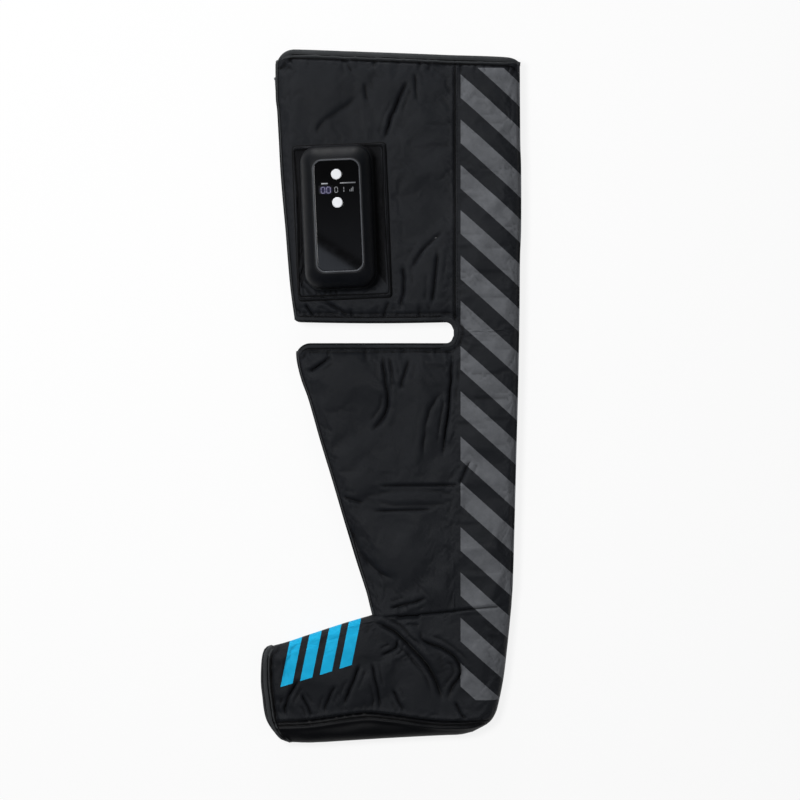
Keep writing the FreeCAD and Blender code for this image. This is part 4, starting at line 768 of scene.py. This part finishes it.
def lining_layer(plan, sign, top):
    """Layer of the lining on one side of the middle, which falls back from the open edges."""
    flat = plan.xy.reshape(-1, 2)
    open_gap = open_gap_of(plan)
    depth = LINING_WALL * ease(open_gap / 22)
    quilt = 0.8 * ripple(flat, 40, 12.5) * ease(open_gap / 30)
    off_middle = np.clip(top - depth + quilt, LINING_LEAST, None) * rise_of(flat, LINING_INSET)
    return plan.with_height(MID + sign * off_middle).reshape(-1, 3)


inner_near_plan = Plan(inset=LINING_INSET, cuff_drop=5.5, toe_drop=7.5, front_in=ZIP_ROOM, **COARSE)
inner_far_plan = Plan(inset=LINING_INSET, cuff_drop=0.5, toe_drop=0.5, front_in=ZIP_ROOM, **COARSE)
lining = Shape()
inner_quads = inner_near_plan.faces()
lining.add(lining_layer(inner_near_plan, 1, NEAR_TOP - MID - 7.0), [f[::-1] for f in inner_quads])
lining.add(lining_layer(inner_far_plan, -1, MID - FAR_LOW - 4.5), inner_quads)
lining = lining.build("sleeve_lining")
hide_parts("leg_lining", "foot_lining", "thigh_air_chamber", "calf_air_chamber",
            "ankle_air_chamber", "foot_air_chamber")

# bound edges

hem_row, head_row, seam_col = near_plan.hem_row, near_plan.head_row, near_plan.seam
front_only = np.arange(seam_col + 1)
slot_rows = np.arange(hem_row + 1, head_row)
toe_rows = np.arange(near_plan.toe_row, near_plan.last_row + 1)
toe_back = toe_rows[-2:0:-1]


def beside(edge, way, gap):
    """Line at a set gap from an edge, along the given ways."""
    return edge + way * (gap / np.linalg.norm(way, axis=1))[:, None]


cuff = Shape()
path = np.vstack([edge_grid[0], far[0][-2::-1]])
inward = np.vstack([edge_grid[2] - edge_grid[0], (far[2] - far[0])[-2::-1]])
run = run_of(path)
from_fold = np.abs(run - run[far_plan.cols])
taper = 0.3 + 0.7 * ease(np.minimum(run, run[-1] - run) / 22)
cuff.sweep(path, inward, [(s, -t) for s, t in ROLLED[::-1]], scale=taper * (1 - 0.6 * hump(from_fold / 14)))
cuff = cuff.build("cuff_edge")
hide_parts("cuff_binding")

slot_edge = Shape()
for grid in (edge_grid, far):
    path = np.vstack([grid[hem_row, front_only], grid[slot_rows, seam_col],
                      grid[head_row, front_only[::-1]]])
    inward = np.vstack([(grid[hem_row - 2] - grid[hem_row])[front_only],
                        grid[slot_rows, seam_col + 2] - grid[slot_rows, seam_col],
                        (grid[head_row + 2] - grid[head_row])[front_only[::-1]]])
    slot_edge.sweep(path, inward, band_profile(1.2, 5.2, 1.3))
slot_edge = slot_edge.build("slot_edge")
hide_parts("thigh_hem_binding", "slot_end_binding", "calf_hem_binding")

toe_edge = Shape()
path = np.vstack([edge_grid[toe_rows, 0], far[toe_back, 0]])
inward = np.vstack([edge_grid[toe_rows, 3] - edge_grid[toe_rows, 0], far[toe_back, 3] - far[toe_back, 0]])
toe_scale = 0.85 - 0.45 * ease(2 * np.linspace(0, 1, len(toe_rows)) - 1)
toe_edge.sweep(path, inward, ROLLED, closed=True, scale=np.concatenate([toe_scale, toe_scale[-2:0:-1]]))
toe_edge = toe_edge.build("toe_edge")
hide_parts("toe_binding")

piping = Shape()
for rows in (np.arange(0, hem_row + 1), np.arange(head_row, near_plan.ankle_row + 1)):
    piping.sweep(far[rows, 0], far[rows, 2] - far[rows, 0], oval(1.0, 0.9, 8, 0.6))
    way = edge_grid[rows, 2] - edge_grid[rows, 0]
    piping.sweep(beside(edge_grid[rows, 0], way, 2.4) + 0.3 * UP, way, oval(1.0, 0.9, 8))
piping = piping.build("front_piping")

# zip tapes behind the teeth: top and bottom of each zip, then the arc of the tape and its two faces

ZIPS = (("thigh_zip_tape", (-146.1, 440.67), (-120.1, 95.67)),
        ("calf_zip_tape", (-119.6, 68.67), (-24.1, -272.33)))
TAPE_STEPS = 40
TAPE_ARC = np.radians(np.linspace(15, 44, 6))
TAPE_FACES = (13.5, 12.9)
tape_loop = [(TAPE_FACES[0], a) for a in TAPE_ARC] + [(TAPE_FACES[1], a) for a in TAPE_ARC[::-1]]
tape = Shape()
for name, top, bottom in ZIPS:
    low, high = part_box(name)
    y = np.linspace(low.y / MM, high.y / MM, TAPE_STEPS)
    x = top[0] + (bottom[0] - top[0]) * (top[1] - y) / (top[1] - bottom[1])
    for side in (1, -1):
        lines = []
        for reach, a in tape_loop:
            level = np.full(TAPE_STEPS, MID + side * reach * math.sin(a))
            lines.append(np.stack([x + MID - reach * math.cos(a), y, level], axis=1))
        tape.add(np.stack(lines, axis=1).reshape(-1, 3), ring_faces(TAPE_STEPS, len(tape_loop)))
tape = tape.build("zip_tapes")
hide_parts("thigh_zip_tape", "calf_zip_tape")

# pocket patch with a raised collar that holds the control unit

AROUND = 480
STEPS = 26
OPENING = (89.2, 179.6, 20.8)
COLLAR = 7.0
HEM = 3.8
HEM_RISE = 1.6
HEM_STEPS = 7
PATCH_THICK = 2.0
PATCH_ROUND = 4.0
# gathers of the patch beside the unit: half width, depth, line
POCKET_FOLDS = (
    (1.6, 1.9, ((-111, 150), (-99, 139), (-81, 122))), (1.4, 1.7, ((-114, 144), (-105, 135), (-97, 126))),
    (1.4, 1.2, ((-101, 147), (-86, 134), (-66, 127))), (1.2, 1.6, ((-115, 290), (-113, 220), (-110, 158))),
    (1.2, 1.2, ((-119, 260), (-116, 210), (-115, 165))), (1.4, 1.3, ((-117, 158), (-111, 141), (-108, 124))),
    (1.5, 0.9, ((-38, 128), (-30, 134), (-16, 137))), (1.3, 1.0, ((-8, 290), (-6, 240), (-4, 190))),
)


def rounded_rect(wide, long, radius, angles):
    """Points of a rounded rectangle's outline at angles from the middle of its right side."""
    x, y = wide / 2 - radius, long / 2 - radius
    points = [(wide / 2, 0.0)]
    for sx, sy, start in ((1, 1, 0), (-1, 1, 90), (-1, -1, 180), (1, -1, 270)):
        for a in np.radians(np.linspace(start, start + 90, 13)):
            points.append((sx * x + radius * math.cos(a), sy * y + radius * math.sin(a)))
    points = np.array(points + points[:1])
    return read_off(points, np.unwrap(np.arctan2(points[:, 1], points[:, 0])), angles)


turn = 2 * math.pi * np.arange(AROUND) / AROUND
patch_out = rounded_rect(*PATCH_SIZE, PATCH_ROUND, turn) + PATCH_SHIFT
patch_in = rounded_rect(*OPENING, turn)
spread = np.linalg.norm(patch_in - patch_out, axis=1)
inward_way = (patch_in - patch_out) / spread[:, None]
gathers = np.sin(31 * turn + 5 * np.sin(7 * turn) + 3 * np.sin(11 * turn))
pleats = 0.4 * gathers - 2.4 * (0.5 - 0.5 * gathers) ** 4
low_left = np.exp(-np.sum((patch_out - np.array([-45, -95])) ** 2, axis=1) / 50 ** 2)
pleats *= 0.3 * np.clip(0.25 + ripple(patch_out, 34, 4.4), 0, 1) + low_left


def patch_ring(t):
    """Top and underside of the patch at a share of the way from its border to the opening."""
    flat = patch_out + (patch_in - patch_out) * t
    run_in = spread * t
    gap_in = spread * (1 - t)
    hem = HEM_RISE * (1 - ease((run_in - HEM + 0.5) / 0.9)) - 1.5 * hump((run_in - HEM - 0.9) / 0.9)
    hem -= 0.9 * hump(run_in / 0.7)
    folds = (pleats + 0.6 * ripple(flat, 9, 7.7)) * ease((run_in - HEM) / 2) * ease(gap_in / 2)
    spots = pump_world(flat)
    for fold_width, depth, line in POCKET_FOLDS:
        gap, share, _, _ = nearest(spots, smooth(line, 4))
        fade = ease(np.minimum(share, 1 - share) * 6) * ease((run_in - 1.0) / 2) * ease(gap_in / 2)
        folds -= depth * fade * hump(gap / fold_width)
    low = PUMP_BASE - 0.4 + COLLAR * np.exp(-(gap_in / 2.6) ** 1.5)
    top = np.maximum(low + 0.4, low + PATCH_THICK + hem + folds)
    return np.column_stack([spots, top]), np.column_stack([spots, low])


rings = np.array([patch_ring((i / STEPS) ** 0.9) for i in range(STEPS + 1)])
layer_size = (STEPS + 1) * AROUND
top_faces = ring_faces(STEPS + 1, AROUND)
patch_faces = top_faces + [tuple(layer_size + i for i in f[::-1]) for f in top_faces]
for first, flip in ((0, -1), (STEPS * AROUND, 1)):
    for k in range(AROUND):
        m = (k + 1) % AROUND
        rim = (first + k, first + m, layer_size + first + m, layer_size + first + k)
        patch_faces.append(rim[::flip])
patch = Shape()
patch.add(np.vstack([rings[:, 0].reshape(-1, 3), rings[:, 1].reshape(-1, 3)]), patch_faces)
patch = patch.build("pocket_patch")
# painted shade: past the hem, the patch beside the unit and its inner rim take a near-black cloth, while the
# strip at the foot end keeps the plain cloth
at_foot = patch_out[:, 1] < -0.47 * PATCH_SIZE[1] + PATCH_SHIFT[1]
painted_shade_zone = np.zeros((STEPS, AROUND), int)
painted_shade_zone[HEM_STEPS:, ~at_foot] = 1
painted_shade_zone = painted_shade_zone.ravel().tolist()
patch.data.polygons.foreach_set("material_index", 2 * painted_shade_zone + [0] * AROUND + [1] * AROUND)
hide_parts("pump_pocket")

collar = Shape()
rim_line = rings[-1, 0]
collar.sweep(rim_line + 0.2 * UP, rim_line - rings[-2, 0], oval(1.0, 1.0, 8, -0.6), closed=True)
collar = collar.build("pocket_rim")

# sewing thread, and near-black cords that paint the shade in the ditches of seams and along edges

STITCH = 3.0
STITCH_GAP = 1.1
STITCH_RADIUS = 0.32
STITCH_LIFT = 0.25
thread = Shape()
shade_cords = Shape()
near_points = near.reshape(-1, 3)
near_tree = plan_tree(near_points)


def stitch_line(path):
    """A row of short thread stitches lying on a path."""
    run = run_of(path)
    ring = oval(1.0, 1.0, 6)
    for start in np.arange(STITCH_GAP, run[-1] - STITCH, STITCH + STITCH_GAP):
        line = read_off(path, run, start + STITCH * np.array([0, 0.25, 0.75, 1]))
        line[:, 2] += STITCH_LIFT + STITCH_RADIUS * np.array([-0.9, 0.6, 0.6, -0.9])
        way = line[-1] - line[0]
        way /= np.linalg.norm(way)
        across = np.cross(way, UP)
        across /= max(np.linalg.norm(across), 1e-6)
        up = np.cross(across, way)
        points = []
        for p, r in zip(line, (0.5, 1, 1, 0.5)):
            points.extend(p + STITCH_RADIUS * r * (a * across + b * up) for a, b in ring)
        thread.add(points, ring_faces(4, 6) + end_faces(4, 6))


def on_near(plan_points):
    """Lift plan points onto the near layer."""
    out = []
    for x, y in plan_points:
        close = near_tree.find_n((x, y, 0), 4)
        weights = [1 / (gap * gap + 0.05) for _, _, gap in close]
        level = sum(w * near_points[i, 2] for w, (_, i, _) in zip(weights, close)) / sum(weights)
        out.append((x, y, level))
    return np.array(out)


def shade_cord_line(path, radius, rise):
    """Near-black cord along a path that paints the shade of a ditch or an edge, raised or sunk by a little.
    """
    path = path + rise * UP
    shade_cords.sweep(path, np.cross(np.gradient(path, axis=0), UP), oval(radius, radius, 6))


def on_patch(run_in, level):
    """Line round the patch at a gap from its border and a level over the unit's base."""
    return pump_world(np.column_stack([patch_out + inward_way * run_in, np.full(AROUND, PUMP_BASE + level)]))


# thigh seam
seam_line = np.column_stack([np.full(160, SEAM_X), np.linspace(428, 100, 160)])
shade_cord_line(on_near(seam_line), 0.8, 0.5)
for offset in (-2.8, 2.8):
    stitch_line(on_near(seam_line + np.array([offset, 0])))
# border of the patch
stitch_line(on_patch(2.7, PATCH_THICK + HEM_RISE - 0.5))
# near-black cords round the patch border paint the shade of its outline and hem grooves
for run_in, level, radius in ((-0.6, 0.2, 1.0), (1.7, 2.7, 0.6), (HEM + 0.9, 0.7, 1.0)):
    shade_cords.sweep(on_patch(run_in, level), np.column_stack([inward_way, np.zeros(AROUND)]),
                oval(radius, radius, 8), closed=True)
# cuff, edges of the slot, toe, front edges
# near-black cords paint the shade in the grooves beside the cuff, slot, toe and front edges
cuff_in = edge_grid[3] - edge_grid[0]
shade_cord_line(beside(edge_grid[0], cuff_in, 9.6)[6:-5], 1.0, -0.4)
shade_cord_line(beside(edge_grid[0], cuff_in, 5.2)[8:-8], 0.6, 1.3)
for row, step in ((hem_row, -2), (head_row, 2)):
    edge = edge_grid[row, front_only]
    way = edge_grid[row + step, front_only] - edge
    stitch_line(beside(edge, way, 7.4)[4:-6])
    shade_cord_line(beside(edge, way, 5.9)[3:-6], 0.7, 0.0)
    shade_cord_line(beside(edge, way, 0.2)[2:-5], 0.6, 1.4)
toe_in = edge_grid[toe_rows, 4] - edge_grid[toe_rows, 0]
for gap, radius, rise in ((9.8, 1.0, -0.2), (5.2, 0.6, 1.2), (-1.6, 0.8, -0.6)):
    shade_cord_line(beside(edge_grid[toe_rows, 0], toe_in, gap * toe_scale)[3:-5], radius, rise)
for rows in (np.arange(4, hem_row - 3), np.arange(head_row + 4, near_plan.ankle_row - 2)):
    way = edge_grid[rows, 2] - edge_grid[rows, 0]
    for gap, radius in ((0.5, 0.8), (4.4, 0.6)):
        shade_cord_line(beside(edge_grid[rows, 0], way, gap), radius, 0.0)
# sole seam
sole_line = smooth(SOLE_SEAM[1:-1])
stitch_line(on_near(sole_line + 3.4 * SOLE_IN))
shade_cord_line(on_near(sole_line), 0.9, 0.3)
shade_cord_line(on_near(sole_line - 4.2 * SOLE_IN), 0.9, 0.2)
shade_cords = shade_cords.build("painted_shade_lines")
thread = thread.build("stitch_rows")

# display marks on the face panel

DIGITS = {"0": "abcdef", "1": "bc"}
SEGMENTS = {"a": (0, 1, "h"), "b": (0.5, 0.5, "v"), "c": (0.5, -0.5, "v"), "d": (0, -1, "h"),
            "e": (-0.5, -0.5, "v"), "f": (-0.5, 0.5, "v")}
DIGIT_Y = 32.4
LABEL_Y = 40.6
BACKLIGHT = (-13.8, DIGIT_Y)


def slab(shape, x, y, wide, high, thick=0.25):
    """Low bar with chamfered top, in the control unit's frame."""
    points = []
    for inset, z in ((0.0, 0.0), (0.0, thick * 0.6), (min(wide, high) * 0.18, thick)):
        for sx, sy in ((-1, -1), (1, -1), (1, 1), (-1, 1)):
            points.append((x + sx * (wide / 2 - inset), y + sy * (high / 2 - inset), PUMP_TOP + z))
    shape.add(pump_world(points), ring_faces(3, 4) + end_faces(3, 4))


def digit(shape, mark, x, wide, high, bar):
    for key in DIGITS[mark]:
        sx, sy, way = SEGMENTS[key]
        size = (wide - bar * 0.9, bar) if way == "h" else (bar, high / 2 - bar * 0.5)
        slab(shape, x + sx * wide, DIGIT_Y + sy * high / 2, *size)


blue_marks = Shape()
for x in (-17.3, -10.4):
    digit(blue_marks, "0", x, 4.6, 7.4, 1.1)
blue_marks = blue_marks.build("display_digits")
white_marks = Shape()
for mark, x in (("0", -0.8), ("1", 7.0)):
    digit(white_marks, mark, x, 3.6, 6.6, 1.0)
for i in range(3):
    slab(white_marks, 16.4 + 1.9 * i, 30.9 + 0.8 * i, 1.1, 2.6 + 1.6 * i)
slab(white_marks, 14.0, LABEL_Y, 19.5, 1.5)
white_marks = white_marks.build("panel_marks")
label_bar = Shape()
slab(label_bar, -15.1, LABEL_Y, 8.0, 1.5)
label_bar = label_bar.build("label_bar")
backlight = Shape()
slab(backlight, *BACKLIGHT, 19.0, 12.0, thick=0.08)
backlight = backlight.build("display_window")

# materials


class Nodes:
    """Short way to write a node tree."""

    def __init__(self, owner):
        owner.use_nodes = True
        self.tree = owner.node_tree

    def put(self, target, entry):
        if isinstance(entry, bpy.types.NodeSocket):
            self.tree.links.new(entry, target)
        else:
            target.default_value = entry

    def add(self, kind, inputs=(), out=0, **settings):
        """One output of a new node with these inputs and settings."""
        node = self.tree.nodes.new("ShaderNode" + kind)
        for key, entry in settings.items():
            setattr(node, key, entry)
        for key, entry in dict(inputs).items():
            self.put(node.inputs[key], entry)
        return node.outputs[out]

    def math(self, operation, *entries):
        return self.add("Math", enumerate(entries), operation=operation)

    def weigh(self, a, a_share, b, b_share):
        return self.math("MULTIPLY_ADD", a, a_share, self.math("MULTIPLY", b, b_share))

    def all_of(self, first, *others):
        for entry in others:
            first = self.math("MULTIPLY", first, entry)
        return first

    def span(self, entry, low, high, to_low, to_high):
        return self.add("MapRange", enumerate((entry, low, high, to_low, to_high)))

    def mix(self, share, a, b):
        return self.add("Mix", {0: share, 6: a, 7: b}, 2, data_type="RGBA")


class Look(Nodes):
    """Node material with patterns in the piece's own space."""

    def __init__(self, name):
        self.material = bpy.data.materials.new(name)
        super().__init__(self.material)
        self.place = self.add("TexCoord", out="Object")

    def axis(self, name):
        return self.add("SeparateXYZ", {0: self.place}, name)

    def noise(self, scale, detail=3.0, rough=0.5):
        inputs = {"Vector": self.place, "Scale": scale, "Detail": detail, "Roughness": rough}
        return self.add("TexNoise", inputs, "Fac")

    def threads(self, scale, direction):
        inputs = {"Vector": self.place, "Scale": scale, "Distortion": 0.2}
        return self.add("TexWave", inputs, "Fac", wave_type="BANDS", bands_direction=direction)

    def shade(self, pattern, low, high, dark, light):
        """Mottled colour between two display colours."""
        return self.mix(self.span(pattern, low, high, 0, 1), rgb(*dark), rgb(*light))

    def stripes(self, run, pitch, share):
        return self.math("LESS_THAN", self.math("FRACT", self.math("DIVIDE", run, pitch)), share)

    def bump(self, height, strength, distance):
        return self.add("Bump", {"Height": height, "Strength": strength, "Distance": distance})

    def finish(self, **entries):
        shader = self.tree.nodes["Principled BSDF"]
        for key, entry in entries.items():
            self.put(shader.inputs[key.replace("_", " ")], entry)
        return self.material


def rgb(*display):
    """Linear colour from display values of 0 to 255."""
    shares = [v / 255 for v in display]
    return (*(v / 12.92 if v <= 0.04045 else ((v + 0.055) / 1.055) ** 2.4 for v in shares), 1.0)


# prints, in metres: slanted bars on the back, and stripes on the instep from its toe end
BAR_PITCH = 0.0575
BAR_SPAN = (-0.385, 0.418)
STRIPE_PITCH = 0.0262
STRIPE_SPAN = (STRIPE_PITCH, 5 * STRIPE_PITCH)
INSTEP_END = (-0.153, -0.318)
INSTEP_SLOPE = math.radians(17.4)
# levels between which the prints run out towards the far side
PRINT_LEVELS = (0.010, 0.020)


def printed(n, tint):
    """Cloth colour with the grey bars and the blue stripes."""
    x, y, z = (n.axis(name) for name in "XYZ")
    grey = n.all_of(n.stripes(n.weigh(x, 0.9, y, 1.0), BAR_PITCH, 0.52),
                    n.math("GREATER_THAN", x, n.span(z, *PRINT_LEVELS, 0.135, 0.089)),
                    n.math("GREATER_THAN", y, BAR_SPAN[0]), n.math("LESS_THAN", y, BAR_SPAN[1]))
    tint = n.mix(grey, tint, n.shade(n.noise(60, 5.0, 0.7), 0.35, 0.7, (84, 86, 90), (98, 100, 104)))
    c, s = math.cos(INSTEP_SLOPE), math.sin(INSTEP_SLOPE)
    from_x, from_y = (n.math("SUBTRACT", a, end) for a, end in zip((x, y), INSTEP_END))
    run = n.weigh(from_x, c, from_y, s)
    drop = n.weigh(from_x, s, from_y, -c)
    lean = n.weigh(drop, 0.55, run, 1.0)
    blue = n.all_of(n.stripes(lean, STRIPE_PITCH, 0.62), n.math("GREATER_THAN", lean, STRIPE_SPAN[0]),
                    n.math("LESS_THAN", lean, STRIPE_SPAN[1]), n.math("GREATER_THAN", drop, -0.004),
                    n.math("LESS_THAN", drop, n.span(z, *PRINT_LEVELS, 0.016, 0.052)))
    return n.mix(blue, tint, n.shade(n.noise(70, 4.0), 0.35, 0.7, (10, 164, 212), (20, 178, 226)))


def fabric(name, dark, light, rough, thread_mm, strength=0.35, prints=False, painted_crease_shade=1.0):
    """Plain-weave cloth: crossed threads, faint random changes of tone, and painted shade that darkens the
    sharp creases to a share.
    """
    n = Look(name)
    pitch = thread_mm * MM
    cloth = n.math("MAXIMUM", n.threads(0.5 / pitch, "X"), n.threads(0.5 / pitch, "Y"))
    tint = n.shade(n.noise(14, 4.0, 0.6), 0.3, 0.7, dark, light)
    if prints:
        tint = printed(n, tint)
    # painted shade: sharp hollows of the mesh, found by pointiness, are darkened towards black down to this
    # share
    if painted_crease_shade < 1:
        hollow = n.add("NewGeometry", out="Pointiness")
        tint = n.mix(n.span(hollow, 0.45, 0.497, painted_crease_shade, 1), rgb(0, 0, 0), tint)
    weave = n.weigh(n.noise(260, 4.0, 0.6), 1.6, cloth, 1.0)
    return n.finish(Base_Color=tint, Roughness=n.span(n.noise(30), 0.3, 0.7, rough - 0.05, rough + 0.06),
                    Normal=n.bump(weave, strength, pitch * 0.35), Sheen_Weight=0.02, Sheen_Roughness=0.4,
                    Specular_IOR_Level=0.12)


def plastic(name, dark, light, rough, grain=900, strength=0.12, specular=0.5, metal=0.0):
    """Moulded or metal surface with a fine grain and a faint change of shade and gloss."""
    n = Look(name)
    vary = min(0.04, 0.2 * rough)
    return n.finish(Base_Color=n.shade(n.noise(35), 0.35, 0.65, dark, light),
                    Roughness=n.span(n.noise(120), 0.3, 0.7, rough - vary, rough + vary),
                    Normal=n.bump(n.noise(grain, 2.0), strength, 0.00008),
                    Specular_IOR_Level=specular, Metallic=metal)


def glow(name, dark, light):
    """Lit mark whose colour shows as written."""
    n = Look(name)
    return n.finish(Base_Color=rgb(4, 4, 5), Roughness=0.4, Emission_Strength=1.0,
                    Emission_Color=n.shade(n.noise(400, 2.0), 0.3, 0.7, dark, light))


def backlit(name, centre, reach, colour):
    """Panel gloss with a soft glow round a point."""
    n = Look(name)
    offs = [n.math("DIVIDE", n.math("SUBTRACT", n.axis(k), c), r) for k, c, r in zip("XY", centre, reach)]
    away = n.math("ADD", *(n.math("MULTIPLY", off, off) for off in offs))
    return n.finish(Base_Color=rgb(9, 10, 11), Roughness=0.5, Specular_IOR_Level=0.1, Emission_Strength=1.0,
                    Emission_Color=n.mix(n.span(away, 0.1, 1.0, 1, 0), rgb(0, 0, 0), rgb(*colour)))


glow_at = pump_world([(*BACKLIGHT, 0.0)])[0] * MM
PIECE_LOOKS = (
    (fabric("nylon_print", (22, 24, 28), (27, 29, 33), 0.55, 0.55, prints=True, painted_crease_shade=0.25), sleeve),
    (fabric("nylon_smooth", (7, 8, 11), (10, 11, 14), 0.5, 0.45, 0.2, painted_crease_shade=0.3), sole),
    (fabric("lining_cloth", (22, 23, 26), (30, 31, 34), 0.65, 0.7, 0.4), lining),
    (fabric("binding_tape", (48, 50, 52), (60, 62, 64), 0.55, 0.8, 0.5), cuff, toe_edge, piping),
    (fabric("edge_tape", (27, 29, 32), (38, 40, 43), 0.55, 0.7, 0.5), slot_edge, collar),
    (fabric("zip_tape_weave", (16, 16, 18), (22, 22, 25), 0.6, 0.6, 0.6), tape),
    (fabric("pocket_fabric", (24, 26, 30), (29, 31, 35), 0.55, 0.55, painted_crease_shade=0.25), patch),
    # near-black cloth that paints the shade beside the control unit
    (fabric("pocket_painted_shade", (8, 9, 12), (14, 15, 18), 0.6, 0.7, 0.5, painted_crease_shade=0.25), patch),
    (fabric("sewing_thread", (8, 9, 11), (14, 15, 17), 0.5, 0.3, 0.5), thread),
    # near-black cord: painted shade in the ditches of seams and along edges
    (fabric("painted_shade_cord", (2, 2, 3), (5, 5, 6), 0.7, 0.3, 0.5), shade_cords),
    (glow("digit_violet", (92, 89, 122), (104, 101, 134)), blue_marks),
    (glow("mark_white", (92, 94, 98), (108, 110, 114)), white_marks),
    (glow("label_white", (142, 144, 150), (154, 156, 162)), label_bar),
    (backlit("display_glow", glow_at, (0.0095, 0.006), (26, 23, 56)), backlight),
)
for material, *pieces in PIECE_LOOKS:
    for piece in pieces:
        piece.data.materials.append(material)

NODE_LOOKS = (
    (plastic("case_satin", (7, 9, 13), (9, 11, 16), 0.5, 1400, 0.2, 0.16),
     "pump_front_case", "pump_rear_case"),
    (plastic("panel_gloss", (3, 3, 4), (5, 5, 6), 0.04, 300, 0.0), "face_panel"),
    (plastic("trim_satin", (58, 60, 64), (68, 70, 74), 0.5, 700, 0.15, 0.3, 0.4), "trim_ring"),
    (plastic("button_white", (222, 224, 228), (232, 234, 238), 0.35, 800, 0.05),
     "power_button", "mode_button"),
    (plastic("seal_rubber", (20, 20, 20), (28, 28, 28), 0.75, 500, 0.3),
     "case_seal", "button_switches", "pump_head"),
    (plastic("zip_moulded", (16, 16, 18), (22, 22, 25), 0.36, 600, 0.15),
     "thigh_zip_teeth", "calf_zip_teeth", "thigh_zip_stops", "calf_zip_stops"),
    (plastic("zip_metal", (70, 71, 74), (92, 93, 96), 0.3, 500, 0.2, 0.5, 0.9),
     "thigh_zip_slider", "calf_zip_slider", "thigh_zip_pull", "calf_zip_pull"),
    (plastic("circuit_board", (18, 62, 38), (24, 78, 48), 0.4, 300, 0.3), "main_board", "charge_board"),
    (plastic("bright_steel", (150, 150, 152), (176, 176, 178), 0.28, 500, 0.15, 0.5, 0.95),
     "case_screws", "pump_motor", "solenoid_valves", "charge_port"),
    (plastic("cell_wrap", (30, 72, 128), (40, 88, 148), 0.4, 300, 0.1), "battery_cells"),
    (plastic("valve_plastic", (196, 196, 190), (210, 210, 204), 0.5, 400, 0.15),
     "battery_cradle", "motor_saddle", "valve_manifold", "outlet_elbows", "chamber_ports"),
    (plastic("hose_silicone", (150, 152, 154), (172, 174, 176), 0.45, 300, 0.1), "feed_tube", "air_hoses"),
    (plastic("display_glass", (12, 12, 16), (18, 18, 24), 0.2, 300, 0.05), "display_module"),
)
for material, *names in NODE_LOOKS:
    for name in names:
        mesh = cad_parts[name].data
        mesh.materials.clear()
        mesh.materials.append(material)

# stage, light and camera, in metres

FLOOR_HALF = 6.0
floor_mesh = bpy.data.meshes.new("floor")
floor_corners = [(sx * FLOOR_HALF, sy * FLOOR_HALF, 0) for sx, sy in ((-1, -1), (1, -1), (1, 1), (-1, 1))]
floor_mesh.from_pydata(floor_corners, [], [(0, 1, 2, 3)])
floor = bpy.data.objects.new("floor", floor_mesh)
bpy.context.scene.collection.objects.link(floor)

# white paper that looks lit by itself to the camera and keeps the shadow
PAPER_GLOW = 0.86
paper = bpy.data.materials.new("studio_paper")
n = Nodes(paper)
matt = n.tree.nodes["Principled BSDF"]
n.put(matt.inputs["Base Color"], (0.9, 0.9, 0.9, 1))
n.put(matt.inputs["Roughness"], 0.9)
seen = n.math("MAXIMUM", n.add("LightPath", out="Is Camera Ray"), n.add("LightPath", out="Is Glossy Ray"))
glow_share = n.math("MULTIPLY", seen, PAPER_GLOW)
mixed = n.add("MixShader", {0: glow_share, 1: matt.outputs[0], 2: n.add("Emission")})
n.put(n.tree.nodes["Material Output"].inputs["Surface"], mixed)
floor_mesh.materials.append(paper)

# white to the camera, and only a faint light
SKY_LIGHT = 0.05
world = bpy.data.worlds.new("studio")
bpy.context.scene.world = world
n = Nodes(world)
backdrop = n.tree.nodes["Background"]
n.put(backdrop.inputs["Color"], (1, 1, 1, 1))
n.put(backdrop.inputs["Strength"], n.span(n.add("LightPath", out="Is Camera Ray"), 0, 1, SKY_LIGHT, 1.0))


def lamp(name, at, target, size, power, turn=0.0, colour=(1.0, 1.0, 1.0)):
    """Soft box of (width, height), aimed at the target and turned round its own axis."""
    data = bpy.data.lights.new(name, "AREA")
    data.shape = "RECTANGLE"
    data.size, data.size_y = size
    data.energy = power
    data.color = colour
    item = bpy.data.objects.new(name, data)
    item.location = at
    aim = (Vector(target) - Vector(at)).to_track_quat("-Z", "Y")
    item.rotation_euler = (aim @ Quaternion((0, 0, 1), math.radians(turn))).to_euler()
    bpy.context.scene.collection.objects.link(item)
    return data


def grade(data, low, high):
    """Let a lamp fade from full at one world Y to nothing at another."""
    n = Nodes(data)
    world_y = n.add("SeparateXYZ", {0: n.add("NewGeometry", out="Position")}, "Y")
    n.put(n.tree.nodes["Emission"].inputs["Strength"], n.span(world_y, low, high, 1.0, 0.0))


COOL = (0.86, 0.94, 1.1)
STRIP_TURN = -33.0
lamp("key", (-0.86, 0.45, 2.2), (0, 0, 0), (0.7, 0.7), 46)
lamp("window", (-0.35, 2.5, 0.42), (0, 0.1, 0.05), (1.4, 0.6), 36)
lamp("fill", (1.5, -0.8, 2.3), (0, 0, 0), (1.8, 1.8), 6.5)
lamp("strip", (-0.202, 0.161, 2.0), (-0.202, 0.161, 0), (0.3, 0.3), 0.21, STRIP_TURN, COOL)
haze = lamp("haze", (-0.043, 0.406, 2.0), (-0.043, 0.406, 0), (0.3, 0.24), 0.036, STRIP_TURN, COOL)
grade(haze, 0.28, 0.45)

SENSOR_MM = 36.0
VIEW_CENTRE = (0.0121, -0.0038)
VIEW_LEVEL = 0.018
VIEW_DISTANCE = 3.2
VIEW_WIDTH = 1.02
camera_data = bpy.data.cameras.new("camera")
camera_data.sensor_width = SENSOR_MM
camera_data.lens = SENSOR_MM * VIEW_DISTANCE / VIEW_WIDTH
camera = bpy.data.objects.new("camera", camera_data)
camera.location = (*VIEW_CENTRE, VIEW_LEVEL + VIEW_DISTANCE)
bpy.context.scene.collection.objects.link(camera)
bpy.context.scene.camera = camera
bpy.context.scene.view_settings.view_transform = "Standard"

bpy.context.view_layer.update()
